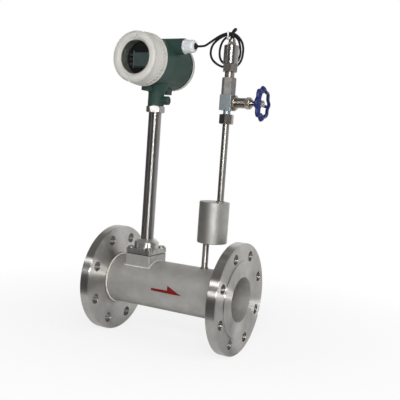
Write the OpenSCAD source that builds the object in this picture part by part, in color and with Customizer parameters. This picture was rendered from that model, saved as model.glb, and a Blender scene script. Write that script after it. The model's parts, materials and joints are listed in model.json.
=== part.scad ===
// Vortex flow meter: a flanged measuring tube with a bluff body across its bore, a converter head
// with a display on a tall stem, and a pressure transmitter with a needle valve on a siphon pot.
// The origin is the centre of the inlet bolt circle on the inlet bolting face.
// +X is the flow direction, +Z points up the stem, and the display faces -Y.

/* [Pipe run] */
// Length between the bolting faces of the two flanges
run_length = 276; // [260:1:400]
// Outside diameter of the measuring tube
tube_od = 89; // [86:0.5:100]
// Wall of the measuring tube
tube_wall = 4.5; // [3:0.5:8]

/* [Flanges] */
// Outside diameter of a flange
flange_od = 200; // [188:1:230]
// Thickness of a flange at its rim
flange_rim = 18; // [14:0.5:24]
// Diameter of the raised sealing face
raised_face_d = 138; // [112:1:140]
// Height of the raised sealing face
raised_face_h = 2; // [1:0.5:4]
// Diameter of the bolt circle
bolt_circle_d = 160; // [158:1:170]
// Diameter of a bolt hole
bolt_hole_d = 18; // [10:0.5:20]
// Number of bolt holes
bolt_hole_count = 8; // [4:4:12]
// Depth of the socket that the tube seats in, from the back of a flange
tube_socket_depth = 10; // [5:0.5:12]
// Chamfer on the edges of a flange rim
flange_chamfer = 1; // [0.5:0.1:3]
// Leg length of the fillet welds on the flanges
flange_weld_leg = 4; // [2:0.5:6]
// Leg length of the fillet welds on the small pipes
pipe_weld_leg = 2; // [1:0.5:3]

/* [Bluff body and probe] */
// Width of the bluff body's upstream face
bluff_face_w = 22; // [14:0.5:26]
// Width of the bluff body's downstream edge
bluff_tail_w = 8; // [4:0.5:12]
// Length of the bluff body along the flow
bluff_length = 28; // [18:0.5:32]
// Distance from the bluff body's downstream edge to the probe's axis
bluff_to_probe = 14; // [12:0.5:18]
// Diameter of the probe's shaft
probe_d = 20; // [14:0.5:22]
// Diameter of the probe's clamped head
probe_head_d = 30; // [26:0.5:34]
// Thickness of the probe's clamped head
probe_head_t = 4; // [2:0.5:6]
// Depth that the probe's fin reaches below the crown of the bore
fin_reach = 32; // [20:1:50]
// Length of the probe's fin along the flow
fin_length = 14; // [8:0.5:16]
// Thickness of the probe's fin
fin_t = 3; // [2:0.5:5]

/* [Sensor mount] */
// Distance from the inlet bolting face to the stem's axis
sensor_x = 75; // [70:0.5:130]
// Length of the saddle pad along the tube
pad_length = 53; // [50:0.5:60]
// Width of the saddle pad across the tube
pad_width = 59; // [56:0.5:64]
// Height of the pad's top above the crown of the tube
pad_crown = 10.5; // [8:0.5:24]
// Corner radius of the pad, gasket and clamp plate
pad_corner_r = 2; // [1:0.5:5]
// Thickness of the gasket under the clamp plate
gasket_t = 1.5; // [0.8:0.1:3]
// Setback of the gasket from the edges of the pad
gasket_inset = 1.5; // [0.5:0.1:3]
// Thickness of the clamp plate
plate_t = 9.5; // [7:0.5:14]
// Thread diameter of the plate bolts
plate_bolt_d = 8; // [6:0.5:8]
// Distance of the plate bolts from the edges of the plate
plate_bolt_inset = 7; // [6.5:0.1:7.5]
// Depth of the plate bolts in the pad
plate_bolt_grip = 12; // [6:0.5:16]
// Thickness of the clamp plate under the bolt heads
plate_seat_t = 3; // [2:0.5:5]
// Diameter of the turned boss on the clamp plate
boss_d = 46; // [40:0.5:47]
// Height of the boss's straight side
boss_h = 11; // [5:0.5:14]
// Height of the boss's cone
boss_cone_h = 6; // [3:0.5:10]
// Diameter of the boss at its top
boss_top_d = 31; // [29:0.5:38]

/* [Stem] */
// Outside diameter of the stem
stem_od = 24; // [20:0.5:25]
// Wall of the stem tube
stem_wall = 3; // [2:0.5:5]
// Length of stem between the boss and the jam nut
stem_exposed = 237; // [150:1:320]
// Depth of the stem in the boss
stem_socket_depth = 12; // [6:0.5:14]
// Depth of the stem in the head's neck
stem_grip = 18; // [14:0.5:24]
// Width of the jam nut across its flats
jam_nut_af = 30; // [28:0.5:36]
// Turn of the jam nut on the stem
jam_nut_turn = 25; // [0:1:60]
// Height of the jam nut
jam_nut_h = 12; // [8:0.5:16]

/* [Converter housing] */
// Height of the head's axis above the jam nut
neck_height = 79; // [76:1:110]
// Diameter of the neck that takes the stem
neck_d = 30; // [29:0.5:34]
// Diameter of the barrel
housing_d = 86; // [85:0.5:92]
// Reach of the barrel in front of the stem's axis
housing_front = 45; // [42:0.5:60]
// Reach of the barrel behind the stem's axis
housing_rear = 54; // [46:0.5:70]
// Diameter of the barrel at its front shoulder
collar_d = 92; // [88:0.5:93]
// Length over which the barrel widens to its front shoulder
collar_taper = 26; // [8:0.5:36]
// Outside diameter of the threaded ends
thread_d = 80; // [78:0.5:81]
// Length of the threaded front end
thread_length = 17; // [15:0.5:18]
// Length of the threaded rear end
rear_thread_length = 7; // [6:0.5:7]
// Diameter of the two chambers
chamber_d = 72; // [70:0.5:74]
// Distance from the stem's axis to the rear face of the wall between the chambers
partition_y = 17; // [16:0.5:18]
// Thickness of the wall between the chambers
partition_t = 4; // [3:0.5:5]
// Height of the cable entries above the head's axis
entry_rise = 30; // [26:0.5:32]
// Diameter of a cable entry boss
entry_boss_d = 29; // [28:0.5:36]
// Reach of a cable entry boss from the stem's axis
entry_reach = 54; // [44:0.5:60]
// Thread diameter of a cable entry
entry_thread_d = 20; // [16:0.5:21]
// Depth of a cable entry's thread
entry_thread_depth = 10; // [6:0.5:12]
// Diameter of the boss that carries the neck's set screw
set_boss_d = 16; // [12:0.5:18]
// Reach of the set screw's boss from the stem's axis
set_boss_reach = 27; // [22:0.5:34]
// Thread diameter of the neck's set screw
set_screw_d = 6; // [4:0.5:8]
// Width of a cover lock lug
lug_w = 12; // [8:0.5:16]
// Depth of a cover lock lug below the barrel
lug_t = 11; // [8:0.5:13]
// Length of a cover lock lug along the head's axis
lug_length = 18; // [12:0.5:19]
// Distance of the front lock lug from the barrel's shoulder
lug_setback = 3; // [1:0.5:5]
// Distance of the rear lock lug from the barrel's shoulder
rear_lug_setback = 9; // [1:0.5:10]
// Thread diameter of a cover lock screw
lock_screw_d = 3; // [2:0.5:4]

/* [Covers] */
// Diameter of the front cover's rim at its teeth
front_rim_d = 94; // [92:0.5:100]
// Diameter of the front cover behind its rounded face
front_face_d = 87; // [84:0.5:90]
// Rounding of the front cover's face
face_round = 5; // [1:0.5:8]
// Depth of the front cover
front_depth = 38; // [35:0.5:50]
// Diameter of the window
window_d = 59; // [40:0.5:62]
// Width of the funnel round the window
window_flare = 4.5; // [1:0.5:6]
// Depth of the funnel round the window
window_flare_h = 5.5; // [1:0.5:7]
// Diameter of the window glass
glass_d = 70; // [66:0.5:74]
// Thickness of the window glass
glass_t = 6; // [4:0.5:8]
// Thickness of the ring that holds the glass
retainer_t = 2.5; // [1.5:0.5:4]
// Diameter of the rear cover's rim at its teeth
rear_rim_d = 90; // [90:0.5:98]
// Diameter of the rear cover's flat face
rear_face_d = 78; // [60:0.5:84]
// Depth of the rear cover
rear_depth = 11.5; // [11.5:0.5:30]
// Number of grip teeth round a cover
cover_teeth = 40; // [24:1:60]
// Height of the front cover's grip teeth
tooth_h = 1.6; // [0.8:0.1:2]
// Height of the rear cover's grip teeth
rear_tooth_h = 0.8; // [0.4:0.1:1]
// Width of the front cover's toothed band
tooth_band_w = 13; // [8:0.5:16]
// Width of the rear cover's toothed band
rear_band_w = 4; // [3:0.5:6]
// Thickness of the covers' seal rings
seal_t = 2.6; // [1.6:0.1:3]
// Width of the spanner slots in the covers
spanner_slot_w = 6; // [4:0.5:10]
// Depth of the spanner slots in the covers
spanner_slot_depth = 3; // [1:0.5:3]
// Turn of the spanner slots from upright, clockwise from the front
spanner_slot_turn = 10; // [0:1:90]

/* [Display and terminals] */
// Width of the display panel
lcd_w = 44; // [30:0.5:46]
// Height of the display panel
lcd_h = 30; // [20:0.5:32]
// Height of the display panel above its tray
lcd_proud = 2; // [0.5:0.1:3]
// Depth of the display panel's pocket in the tray
lcd_pocket = 4; // [2:0.5:5]
// Thickness of the display tray
tray_t = 7.5; // [6:0.5:9]
// Thickness of the display's circuit board
board_t = 1.6; // [1:0.1:2.4]
// Length of the posts that carry the board
post_length = 16; // [12:0.5:18]
// Diameter of the posts that carry the board
post_d = 6; // [5:0.5:7]
// Width of the terminal block
terminal_w = 44; // [30:0.5:48]
// Height of the terminal block
terminal_h = 18; // [12:0.5:20]
// Depth of the terminal block
terminal_depth = 14; // [8:0.5:15]
// Number of terminal screws
terminal_count = 5; // [3:1:6]

/* [Cable gland] */
// Width of the gland's hexagon across its flats
gland_af = 24; // [22:0.5:28]
// Length of the gland's hexagon
gland_hex_l = 4; // [3:0.5:10]
// Diameter of the gland's dome nut
gland_nut_d = 23.5; // [22:0.5:27]
// Length of the gland's dome nut
gland_nut_l = 18; // [16:0.5:30]
// Length of the rubber tip past the dome nut
gland_tip_l = 4; // [3:0.5:12]
// Diameter of the cable
cable_d = 4; // [3:0.1:4.2]

/* [Siphon pot] */
// Distance from the inlet bolting face to the pot's axis
pot_x = 212; // [190:1:225]
// Distance of the two pipes from the pot's axis
pot_offset = 11; // [9:0.5:14]
// Outside diameter of the pot
pot_d = 54; // [52:0.5:70]
// Height of the pot
pot_h = 74; // [50:1:120]
// Wall of the pot
pot_wall = 2.5; // [1.5:0.5:4]
// Thickness of the pot's end plates
pot_end_t = 4; // [2:0.5:6]
// Outside diameter of the two pipes
pipe_od = 12; // [8:0.5:13]
// Bore of the two pipes
pipe_bore = 8; // [4:0.5:9]
// Height of the pot above the crown of the tube
tap_exposed = 48.5; // [20:0.5:90]
// Length of the upper pipe between the pot and the union nut
riser_exposed = 138; // [60:1:220]
// Length of each pipe inside the pot
pipe_dip = 44; // [10:1:46]

/* [Needle valve] */
// Width of the union nut across its flats
union_af = 22.5; // [21:0.5:26]
// Turn of the union nut on the pipe
union_turn = 40; // [0:1:60]
// Height of the union nut
union_h = 17; // [16:0.5:24]
// Diameter of the thread in the union nut
union_thread_d = 16; // [15.5:0.1:17]
// Length of the bare neck between the union nut and the block
nipple_neck_l = 7; // [3:0.5:14]
// Diameter of the bare neck between the union nut and the block
nipple_neck_d = 13; // [10:0.5:15]
// Width and depth of the valve block
block_w = 22; // [21:0.5:30]
// Height of the valve block
block_h = 27; // [26:0.5:40]
// Width of the bonnet's hexagon across its flats
bonnet_af = 23; // [20:0.5:23]
// Length of the bonnet's hexagon
bonnet_hex_l = 6.5; // [5:0.5:10]
// Diameter of the bonnet's barrel
bonnet_d = 18; // [16:0.5:20]
// Length of the bonnet's barrel
bonnet_l = 18; // [14:0.5:24]
// Width of the packing nut across its flats
packing_nut_af = 18; // [17.5:0.5:22]
// Length of the packing nut's hexagon
packing_nut_l = 8.5; // [8:0.5:12]
// Length of the packing nut's cone
packing_cone_l = 4.5; // [2:0.5:8]
// Diameter of the valve stem
spindle_d = 6; // [4:0.5:7]
// Length of valve stem between the packing nut and the handwheel
spindle_exposed = 3; // [2:0.5:24]
// Lift of the needle from closed to open
needle_lift = 4; // [2:0.5:5]

/* [Handwheel] */
// Diameter of the handwheel over its lobes
wheel_d = 60; // [50:1:80]
// Number of lobes round the rim
wheel_lobes = 8; // [5:1:12]
// Height of a lobe above the hollow beside it
lobe_h = 3; // [1:0.5:5]
// Radial width of the rim
rim_w = 7; // [5:0.5:9]
// Thickness of the rim along the stem
rim_t = 8.5; // [5:0.5:11]
// Number of spokes
wheel_spokes = 3; // [3:1:5]
// Diameter of a spoke at the hub
spoke_d = 7; // [4:0.5:9]
// Distance of the rim's middle plane past the hub's
wheel_dish = 9; // [0:0.5:12]
// Diameter of the hub
hub_d = 15; // [12:0.5:20]
// Length of the hub
hub_l = 11; // [8:0.5:16]
// Width of the handwheel's nut across its flats
wheel_nut_af = 10; // [9.5:0.5:13]
// Height of the handwheel's nut
wheel_nut_h = 5; // [3:0.5:8]

/* [Pressure transmitter] */
// Width of the connector's hexagon across its flats
connector_af = 22; // [20:0.5:28]
// Turn of the connector's hexagon
connector_turn = 15; // [0:1:60]
// Height of the connector
connector_h = 30; // [26:0.5:44]
// Diameter of the threads at both ends of the connector
connector_thread_d = 14; // [12:0.5:15]
// Depth of the threads at both ends of the connector
connector_thread_l = 10; // [6:0.5:12]
// Diameter of the transmitter's stub
stub_d = 17; // [15.5:0.5:20]
// Height of the transmitter's stub
stub_h = 9.5; // [5:0.5:16]
// Width of the transmitter's hexagon across its flats
base_af = 24; // [22:0.5:26]
// Height of the transmitter's hexagon
base_h = 14; // [10:0.5:20]
// Diameter of the transmitter's case
case_d = 26; // [22:0.5:28]
// Height of the transmitter's case
case_h = 32; // [24:0.5:60]
// Wall of the transmitter's case
case_wall = 2; // [1.5:0.5:3]
// Width of the cap's hexagon across its flats
cap_af = 14; // [12.5:0.5:18]
// Height of the cap's hexagon
cap_hex_h = 5; // [3:0.5:8]
// Diameter of the cap's collar
cap_collar_d = 12; // [9:0.5:14]
// Height of the cap's collar
cap_collar_h = 5.5; // [3:0.5:10]
// Height of the rubber boot on the cap
boot_h = 6; // [4:0.5:12]

/* [Hidden] */
$fn = 96;

// Gap round pieces that are welded, pressed or screwed together
fit_gap = 0.1;
// Gap round pieces that turn or slide
run_gap = 0.3;
// Extra length of a cut past the face that it opens
cut = 1;

// Colours
stainless = [0.72, 0.71, 0.69];
polished = [0.80, 0.80, 0.80];
green_paint = [0.19, 0.28, 0.25];
cream_paint = [0.80, 0.80, 0.76];
dark_plastic = [0.10, 0.11, 0.11];
black_rubber = [0.06, 0.06, 0.06];
white_plastic = [0.85, 0.86, 0.87];
wheel_blue = [0.12, 0.18, 0.48];

// Pipe run
tube_r = tube_od / 2;
bore_r = tube_r - tube_wall;
tube_x0 = flange_rim - tube_socket_depth;
tube_x1 = run_length - tube_x0;

// Sensor mount and stem, bottom to top
pad_top = tube_r + pad_crown;
gasket_top = pad_top + gasket_t;
plate_top = gasket_top + plate_t;
boss_top = plate_top + boss_h + boss_cone_h;
jam_nut_z = boss_top + stem_exposed;
neck_z = jam_nut_z + jam_nut_h;
head_z = neck_z + neck_height;
stem_id = stem_od - 2 * stem_wall;
probe_hole_d = probe_d + 2;
bolt_head_d = 1.65 * plate_bolt_d;
washer_t = 0.2 * plate_bolt_d;
bolt_seat_z = gasket_top + plate_seat_t;
bolt_recess_d = bolt_head_d + 1.6;
bolt_x = pad_length / 2 - plate_bolt_inset;
bolt_y = pad_width / 2 - plate_bolt_inset;

// Head, along its own axis: zero at the stem, positive towards the display
housing_r = housing_d / 2;
thread_r = thread_d / 2;
chamber_r = chamber_d / 2;
front_end = housing_front + thread_length;
rear_end = housing_rear + rear_thread_length;
tray_back = partition_y + partition_t + post_length + board_t;
tray_front = tray_back + tray_t;
tray_r = chamber_r - 1;
tray_screw_r = tray_r - 4;
post_r = chamber_r - 8;
entry_z = head_z + entry_rise;
entry_end = sensor_x + entry_reach;
seal_seat_h = seal_t + 2 * run_gap;
front_z0 = housing_front + run_gap;
front_z1 = front_z0 + front_depth;
rear_z0 = housing_rear + run_gap;
rear_z1 = rear_z0 + rear_depth;
thread_bore_r = thread_r + run_gap;
seal_bore_r = thread_bore_r + seal_t + run_gap;
window_lip_t = 1.5;
glass_z1 = front_z1 - window_flare_h - window_lip_t;
glass_z0 = glass_z1 - glass_t;
retainer_z0 = glass_z0 - retainer_t;
cover_edge = 1.5;
lock_head_d = 1.7 * lock_screw_d;
lock_head_t = 0.8 * lock_screw_d;
lock_screw_z = head_z - housing_r - lock_head_d / 2 - fit_gap;
set_screw_z = neck_z + stem_grip * 0.6;

// Gland
gland_hex_end = entry_end + gland_hex_l;
gland_nut_end = gland_hex_end + gland_nut_l;
gland_tip = gland_nut_end + gland_tip_l;
gland_thread_d = 17;
gland_bore_d = 12;
gland_tip_d = cable_d + 2.4;

// Siphon pot and pipes
tap_x = pot_x - pot_offset;
riser_x = pot_x + pot_offset;
pipe_hole_d = pipe_od + 2 * fit_gap;
tap_z = bore_r + (tube_r - bore_r) * 0.25;
pot_z0 = tube_r + tap_exposed;
pot_z1 = pot_z0 + pot_h;
union_z = pot_z1 + riser_exposed;

// Needle valve
ferrule_h = 4.5;
union_floor = 2.5;
nipple_z = union_z + union_floor + ferrule_h;
block_z0 = union_z + union_h + nipple_neck_l;
block_z1 = block_z0 + block_h;
valve_z = (block_z0 + block_z1) / 2;
block_face = riser_x + block_w / 2;
port_d = 5;
needle_d = 8;
needle_chamber_d = needle_d + 2 * run_gap;
seat_d = 4;
seat_x = riser_x - 2;
needle_tip = seat_x - 2.6;
needle_end = riser_x + 7;
pivot_d = 4.4;
pivot_l = 5;
spigot_d = 14;
spigot_l = 6;
bonnet_hex_end = block_face + bonnet_hex_l;
bonnet_end = bonnet_hex_end + bonnet_l;
bonnet_thread_d = 14;
bonnet_thread_l = 8;
packing_d = 11;
packing_l = 7;
bonnet_tip = bonnet_end + bonnet_thread_l;
packing_nut_x = bonnet_end + 1;
packing_hex_end = packing_nut_x + packing_nut_l;
packing_nut_end = packing_hex_end + packing_cone_l;
spindle_hole_d = spindle_d + 2 * run_gap;
hub_x0 = packing_nut_end + spindle_exposed;
hub_x1 = hub_x0 + hub_l;
hub_x = (hub_x0 + hub_x1) / 2;
wheel_x = hub_x + wheel_dish;
rim_mid_r = wheel_d / 2 - rim_w / 2 - lobe_h / 2;
spoke_start = -10;
wheel_nut_end = hub_x1 + wheel_nut_h;

// Transmitter, bottom to top
connector_z1 = block_z1 + connector_h;
stub_z1 = connector_z1 + stub_h;
base_z1 = stub_z1 + base_h;
case_z1 = base_z1 + case_h;
cap_hex_z1 = case_z1 + cap_hex_h;
cap_z1 = cap_hex_z1 + cap_collar_h;
boot_top = cap_z1 + boot_h;
boot_tip_d = cable_d + 2;
boot_d = boot_tip_d + 3;

// Cable route in the frame of its loops: right, back and up from the foot of the transmitter's axis
loop_turn = 26;
loop_route = [
    [-47, 22.5, 442], [-40, 14.5, 445.5], [-32, 8, 450.5], [-24, 6, 456], [-16, 6, 460.5], [-8, 6, 463],
    [0, 6.5, 463.5], [7, 7.5, 461], [13, 9, 456], [18, 11.5, 449], [20.5, 13.5, 440], [20.5, 15.5, 430],
    [19, 16.5, 421], [15, 17, 413], [8, 17.5, 407.5], [0, 17.5, 405.5], [-9, 17.5, 405.5],
    [-18, 17, 407.5], [-26.5, 16.5, 412], [-33, 15.5, 418.5], [-36, 14.5, 427], [-35.5, 13.5, 436],
    [-32.5, 12.5, 443.5], [-26.5, 11.5, 450.5], [-19, 11, 456.5], [-11, 11, 460.5], [-3, 11, 461.5],
    [4, 11.5, 459.5], [10, 12.5, 455], [13.5, 14, 448], [15.5, 15, 439], [16, 15.5, 430],
    [14, 16, 421], [10, 16.5, 414], [4, 17, 410.5], [-3, 17, 410], [-10, 17, 411.5], [-16, 16.5, 416],
    [-19.5, 16, 423], [-20.5, 16, 432], [-19.5, 16, 441], [-17, 16, 449], [-12.5, 16, 455.5],
    [-7, 16.5, 459.5], [-3.5, 19, 463.5], [2.5, 17.5, 468.5], [5.5, 12.5, 471], [5, 7, 471.5],
    [2.5, 2, 469], [0, 0, 464]
];
cable_lead = 8;
cable_sides = 8;
tie_along = -8;
tie_back = 11.7;
tie_up = 460.2;
tie_w = 3;
tie_t = 1.2;
tie_inner = [16, 10.6];

function loop_to_part(p) = [
    riser_x + p[0] * cos(loop_turn) - p[1] * sin(loop_turn),
    p[0] * sin(loop_turn) + p[1] * cos(loop_turn),
    p[2]
];

cable_route = concat(
    [[gland_tip, 0, entry_z], [gland_tip + cable_lead, 0, entry_z]],
    [for (p = loop_route) loop_to_part(p)],
    [[riser_x, 0, boot_top]]
);

function unit(v) = v / norm(v);
function heading(path, i) = unit(path[min(i + 1, len(path) - 1)] - path[max(i - 1, 0)]);
function square_to(v, t) = unit(v - (v * t) * t);

// Side direction at each route point, carried along so that the tube doesn't twist
function carried_sides(path) = [
    for (i = 0, side = square_to([0, 0, 1], heading(path, 0)); i < len(path);
         i = i + 1, side = i < len(path) ? square_to(side, heading(path, i)) : side) side
];

function ring_points(centre, t, side, r, count) = [
    for (j = [0 : count - 1])
        centre + r * (cos(360 * j / count) * side + sin(360 * j / count) * cross(t, side))
];

// Triangles between rings of equal count, where each ring follows the one before it
function wall_faces(rings, count, closed) = [
    for (i = [0 : rings - (closed ? 1 : 2)]) for (j = [0 : count - 1])
        let (a = i * count + j, b = i * count + (j + 1) % count,
             c = ((i + 1) % rings) * count + (j + 1) % count, d = ((i + 1) % rings) * count + j)
        each [[a, d, c], [a, c, b]]
];

module swept_tube(path, r, count) {
    sides = carried_sides(path);
    last = (len(path) - 1) * count;
    polyhedron(
        points = [for (i = [0 : len(path) - 1])
            each ring_points(path[i], heading(path, i), sides[i], r, count)],
        faces = concat(
            [[for (j = [0 : count - 1]) j]],
            wall_faces(len(path), count, false),
            [[for (j = [count - 1 : -1 : 0]) last + j]]
        )
    );
}

// Closed ring of oval section whose radius swells at each lobe
module lobed_ring(mid_r, swell, lobes, w, t) {
    rings = lobes * 12;
    count = 10;
    polyhedron(
        points = [
            for (i = [0 : rings - 1]) for (j = [0 : count - 1])
                let (a = 360 * i / rings, b = 360 * j / count,
                     r = mid_r + swell * cos(lobes * a) + w / 2 * cos(b))
                [-t / 2 * sin(b), r * cos(a), r * sin(a)]
        ],
        faces = wall_faces(rings, count, true)
    );
}

// Frames and shared shapes

// Turns a shape that is built along +Z to lie along +X
module along_x(x, y = 0, z = 0) {
    translate([x, y, z]) rotate([0, 90, 0]) children();
}

// Turns a shape that is built along +Z to face the front, on the head's axis
module on_head_axis() {
    translate([sensor_x, 0, head_z]) rotate([90, 0, 0]) children();
}

// Turns a shape that is built along +Z to face the rear, on the head's axis
module on_head_axis_rear() {
    translate([sensor_x, 0, head_z]) rotate([-90, 0, 0]) children();
}

module hexagon(af, h) {
    cylinder(d = af / cos(30), h = h, $fn = 6);
}

// Hexagon whose corners are turned off at one or both ends
module turned_hexagon(af, h, low = true, high = true) {
    corner_r = af / cos(30) / 2;
    drop = (corner_r - af / 2) * tan(30);
    intersection() {
        hexagon(af, h);
        rotate_extrude() polygon([
            [0, 0], [low ? af / 2 : corner_r, 0], [corner_r, low ? drop : 0],
            [corner_r, high ? h - drop : h], [high ? af / 2 : corner_r, h], [0, h]
        ]);
    }
}

module rounded_rectangle(w, l, r) {
    square([w - 2 * r, l], center = true);
    square([w, l - 2 * r], center = true);
    for (sx = [-1, 1], sy = [-1, 1])
        translate([sx * (w / 2 - r), sy * (l / 2 - r)]) circle(r = r);
}

module tube_outside(gap = 0) {
    along_x(-cut) cylinder(r = tube_r + gap, h = run_length + 2 * cut);
}

module pipe(z0, z1) {
    translate([0, 0, z0]) difference() {
        cylinder(d = pipe_od, h = z1 - z0);
        translate([0, 0, -cut]) cylinder(d = pipe_bore, h = z1 - z0 + 2 * cut);
    }
}

// Quarter-round fillet weld on a pipe that stands on a flat face
module fillet_weld(r, leg) {
    rotate_extrude() translate([r + fit_gap, 0]) intersection() {
        circle(r = leg);
        square(leg);
    }
}

module at_plate_bolts() {
    for (sx = [-1, 1], sy = [-1, 1])
        translate([sensor_x + sx * bolt_x, sy * bolt_y, 0]) children();
}

// Pipe run

module flange() {
    difference() {
        along_x(0) rotate_extrude() polygon([
            [bore_r, -raised_face_h], [raised_face_d / 2, -raised_face_h], [raised_face_d / 2, 0],
            [flange_od / 2 - flange_chamfer, 0], [flange_od / 2, flange_chamfer],
            [flange_od / 2, flange_rim - flange_chamfer], [flange_od / 2 - flange_chamfer, flange_rim],
            [tube_r + fit_gap, flange_rim], [tube_r + fit_gap, flange_rim - tube_socket_depth],
            [bore_r, flange_rim - tube_socket_depth]
        ]);
        for (i = [0 : bolt_hole_count - 1])
            rotate([(i + 0.5) * 360 / bolt_hole_count, 0, 0])
                along_x(-cut, 0, bolt_circle_d / 2) cylinder(d = bolt_hole_d, h = flange_rim + 2 * cut);
    }
}

module inlet_flange() {
    color(stainless) flange();
}

module outlet_flange() {
    color(stainless) translate([run_length, 0, 0]) mirror([1, 0, 0]) flange();
}

module measuring_tube() {
    color(stainless) difference() {
        along_x(tube_x0) cylinder(r = tube_r, h = tube_x1 - tube_x0);
        along_x(tube_x0 - cut) cylinder(r = bore_r, h = tube_x1 - tube_x0 + 2 * cut);
        translate([sensor_x, 0, 0]) cylinder(d = probe_hole_d, h = tube_od);
        translate([tap_x, 0, 0]) cylinder(d = pipe_bore, h = tube_od);
        translate([tap_x, 0, tap_z - fit_gap]) cylinder(d = pipe_hole_d, h = tube_od);
    }
}

module weld_beads() {
    color(polished) {
        along_x(flange_rim) fillet_weld(tube_r, flange_weld_leg);
        translate([run_length - flange_rim, 0, 0]) mirror([1, 0, 0])
            along_x(0) fillet_weld(tube_r, flange_weld_leg);
        difference() {
            translate([tap_x, 0, tube_r - pipe_weld_leg])
                cylinder(r1 = pipe_od / 2 + 1.5 * pipe_weld_leg, r2 = pipe_od / 2 + fit_gap,
                    h = 2.5 * pipe_weld_leg);
            translate([tap_x, 0, 0]) cylinder(r = pipe_od / 2 + fit_gap, h = pot_z0);
            tube_outside(fit_gap);
        }
        translate([tap_x, 0, pot_z0]) mirror([0, 0, 1]) fillet_weld(pipe_od / 2, pipe_weld_leg);
        translate([riser_x, 0, pot_z1]) fillet_weld(pipe_od / 2, pipe_weld_leg);
    }
}

module bluff_body() {
    tail_x = sensor_x - bluff_to_probe;
    color(stainless) intersection() {
        translate([0, 0, -bore_r]) linear_extrude(2 * bore_r) polygon([
            [tail_x - bluff_length, -bluff_face_w / 2], [tail_x - bluff_length * 0.88, -bluff_face_w / 2],
            [tail_x, -bluff_tail_w / 2], [tail_x, bluff_tail_w / 2],
            [tail_x - bluff_length * 0.88, bluff_face_w / 2], [tail_x - bluff_length, bluff_face_w / 2]
        ]);
        along_x(tail_x - bluff_length - cut) cylinder(r = bore_r - fit_gap, h = bluff_length + 2 * cut);
    }
}

module sensor_probe() {
    shaft_z = bore_r - 2;
    fin_z = bore_r - fin_reach;
    color(polished) translate([sensor_x, 0, 0]) {
        translate([0, 0, pad_top - probe_head_t]) cylinder(d = probe_head_d, h = probe_head_t);
        translate([0, 0, shaft_z]) cylinder(d = probe_d, h = pad_top - probe_head_t - shaft_z);
        translate([-fin_length / 2, -fin_t / 2, fin_z]) cube([fin_length, fin_t, shaft_z - fin_z]);
    }
}

// Sensor mount and stem

module sensor_pad() {
    foot_z = sqrt(pow(tube_r, 2) - pow(pad_width / 2, 2));
    color(stainless) difference() {
        translate([sensor_x, 0, foot_z]) linear_extrude(pad_top - foot_z)
            rounded_rectangle(pad_length, pad_width, pad_corner_r);
        tube_outside(fit_gap);
        translate([sensor_x, 0, 0]) cylinder(d = probe_hole_d, h = pad_top + cut);
        translate([sensor_x, 0, pad_top - probe_head_t])
            cylinder(d = probe_head_d + 2 * fit_gap, h = probe_head_t + cut);
        at_plate_bolts() translate([0, 0, pad_top - plate_bolt_grip - cut])
            cylinder(d = plate_bolt_d + 2 * fit_gap, h = plate_bolt_grip + 2 * cut);
    }
}

module sensor_gasket() {
    color(black_rubber) translate([0, 0, pad_top]) linear_extrude(gasket_t) difference() {
        translate([sensor_x, 0])
            rounded_rectangle(pad_length - 2 * gasket_inset, pad_width - 2 * gasket_inset, pad_corner_r);
        translate([sensor_x, 0]) circle(d = probe_hole_d);
        at_plate_bolts() circle(d = plate_bolt_d + 2 * run_gap);
    }
}

module clamp_plate() {
    color(polished) difference() {
        union() {
            translate([sensor_x, 0, gasket_top]) linear_extrude(plate_t)
                rounded_rectangle(pad_length, pad_width, pad_corner_r);
            translate([sensor_x, 0, gasket_top]) rotate_extrude() polygon([
                [0, 0], [boss_d / 2, 0], [boss_d / 2, plate_t + boss_h],
                [boss_top_d / 2, plate_t + boss_h + boss_cone_h], [0, plate_t + boss_h + boss_cone_h]
            ]);
        }
        translate([sensor_x, 0, gasket_top - cut]) cylinder(d = stem_id, h = boss_top);
        translate([sensor_x, 0, boss_top - stem_socket_depth])
            cylinder(d = stem_od + 2 * fit_gap, h = stem_socket_depth + cut);
        at_plate_bolts() {
            translate([0, 0, gasket_top - cut])
                cylinder(d = plate_bolt_d + 2 * run_gap, h = plate_t + 2 * cut);
            translate([0, 0, bolt_seat_z]) cylinder(d = bolt_recess_d, h = boss_top - bolt_seat_z + cut);
        }
    }
}

module plate_bolts() {
    head_z0 = bolt_seat_z + washer_t;
    color(polished) at_plate_bolts() difference() {
        union() {
            translate([0, 0, pad_top - plate_bolt_grip])
                cylinder(d = plate_bolt_d, h = head_z0 - pad_top + plate_bolt_grip + cut);
            translate([0, 0, head_z0]) cylinder(d = bolt_head_d, h = plate_bolt_d);
        }
        translate([0, 0, head_z0 + plate_bolt_d / 2]) hexagon(plate_bolt_d * 0.8, plate_bolt_d);
    }
}

module plate_washers() {
    color(stainless) at_plate_bolts() translate([0, 0, bolt_seat_z]) difference() {
        cylinder(d = bolt_head_d, h = washer_t);
        translate([0, 0, -cut]) cylinder(d = plate_bolt_d + 2 * run_gap, h = washer_t + 2 * cut);
    }
}

module stem_tube() {
    stem_z0 = boss_top - stem_socket_depth;
    stem_z1 = neck_z + stem_grip;
    color(polished) translate([sensor_x, 0, stem_z0]) difference() {
        cylinder(d = stem_od, h = stem_z1 - stem_z0);
        translate([0, 0, -cut]) cylinder(d = stem_id, h = stem_z1 - stem_z0 + 2 * cut);
    }
}

module jam_nut() {
    color(polished) translate([sensor_x, 0, jam_nut_z]) difference() {
        rotate(jam_nut_turn) turned_hexagon(jam_nut_af, jam_nut_h);
        translate([0, 0, -cut]) cylinder(d = stem_od + 2 * fit_gap, h = jam_nut_h + 2 * cut);
    }
}

// Converter head

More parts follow.
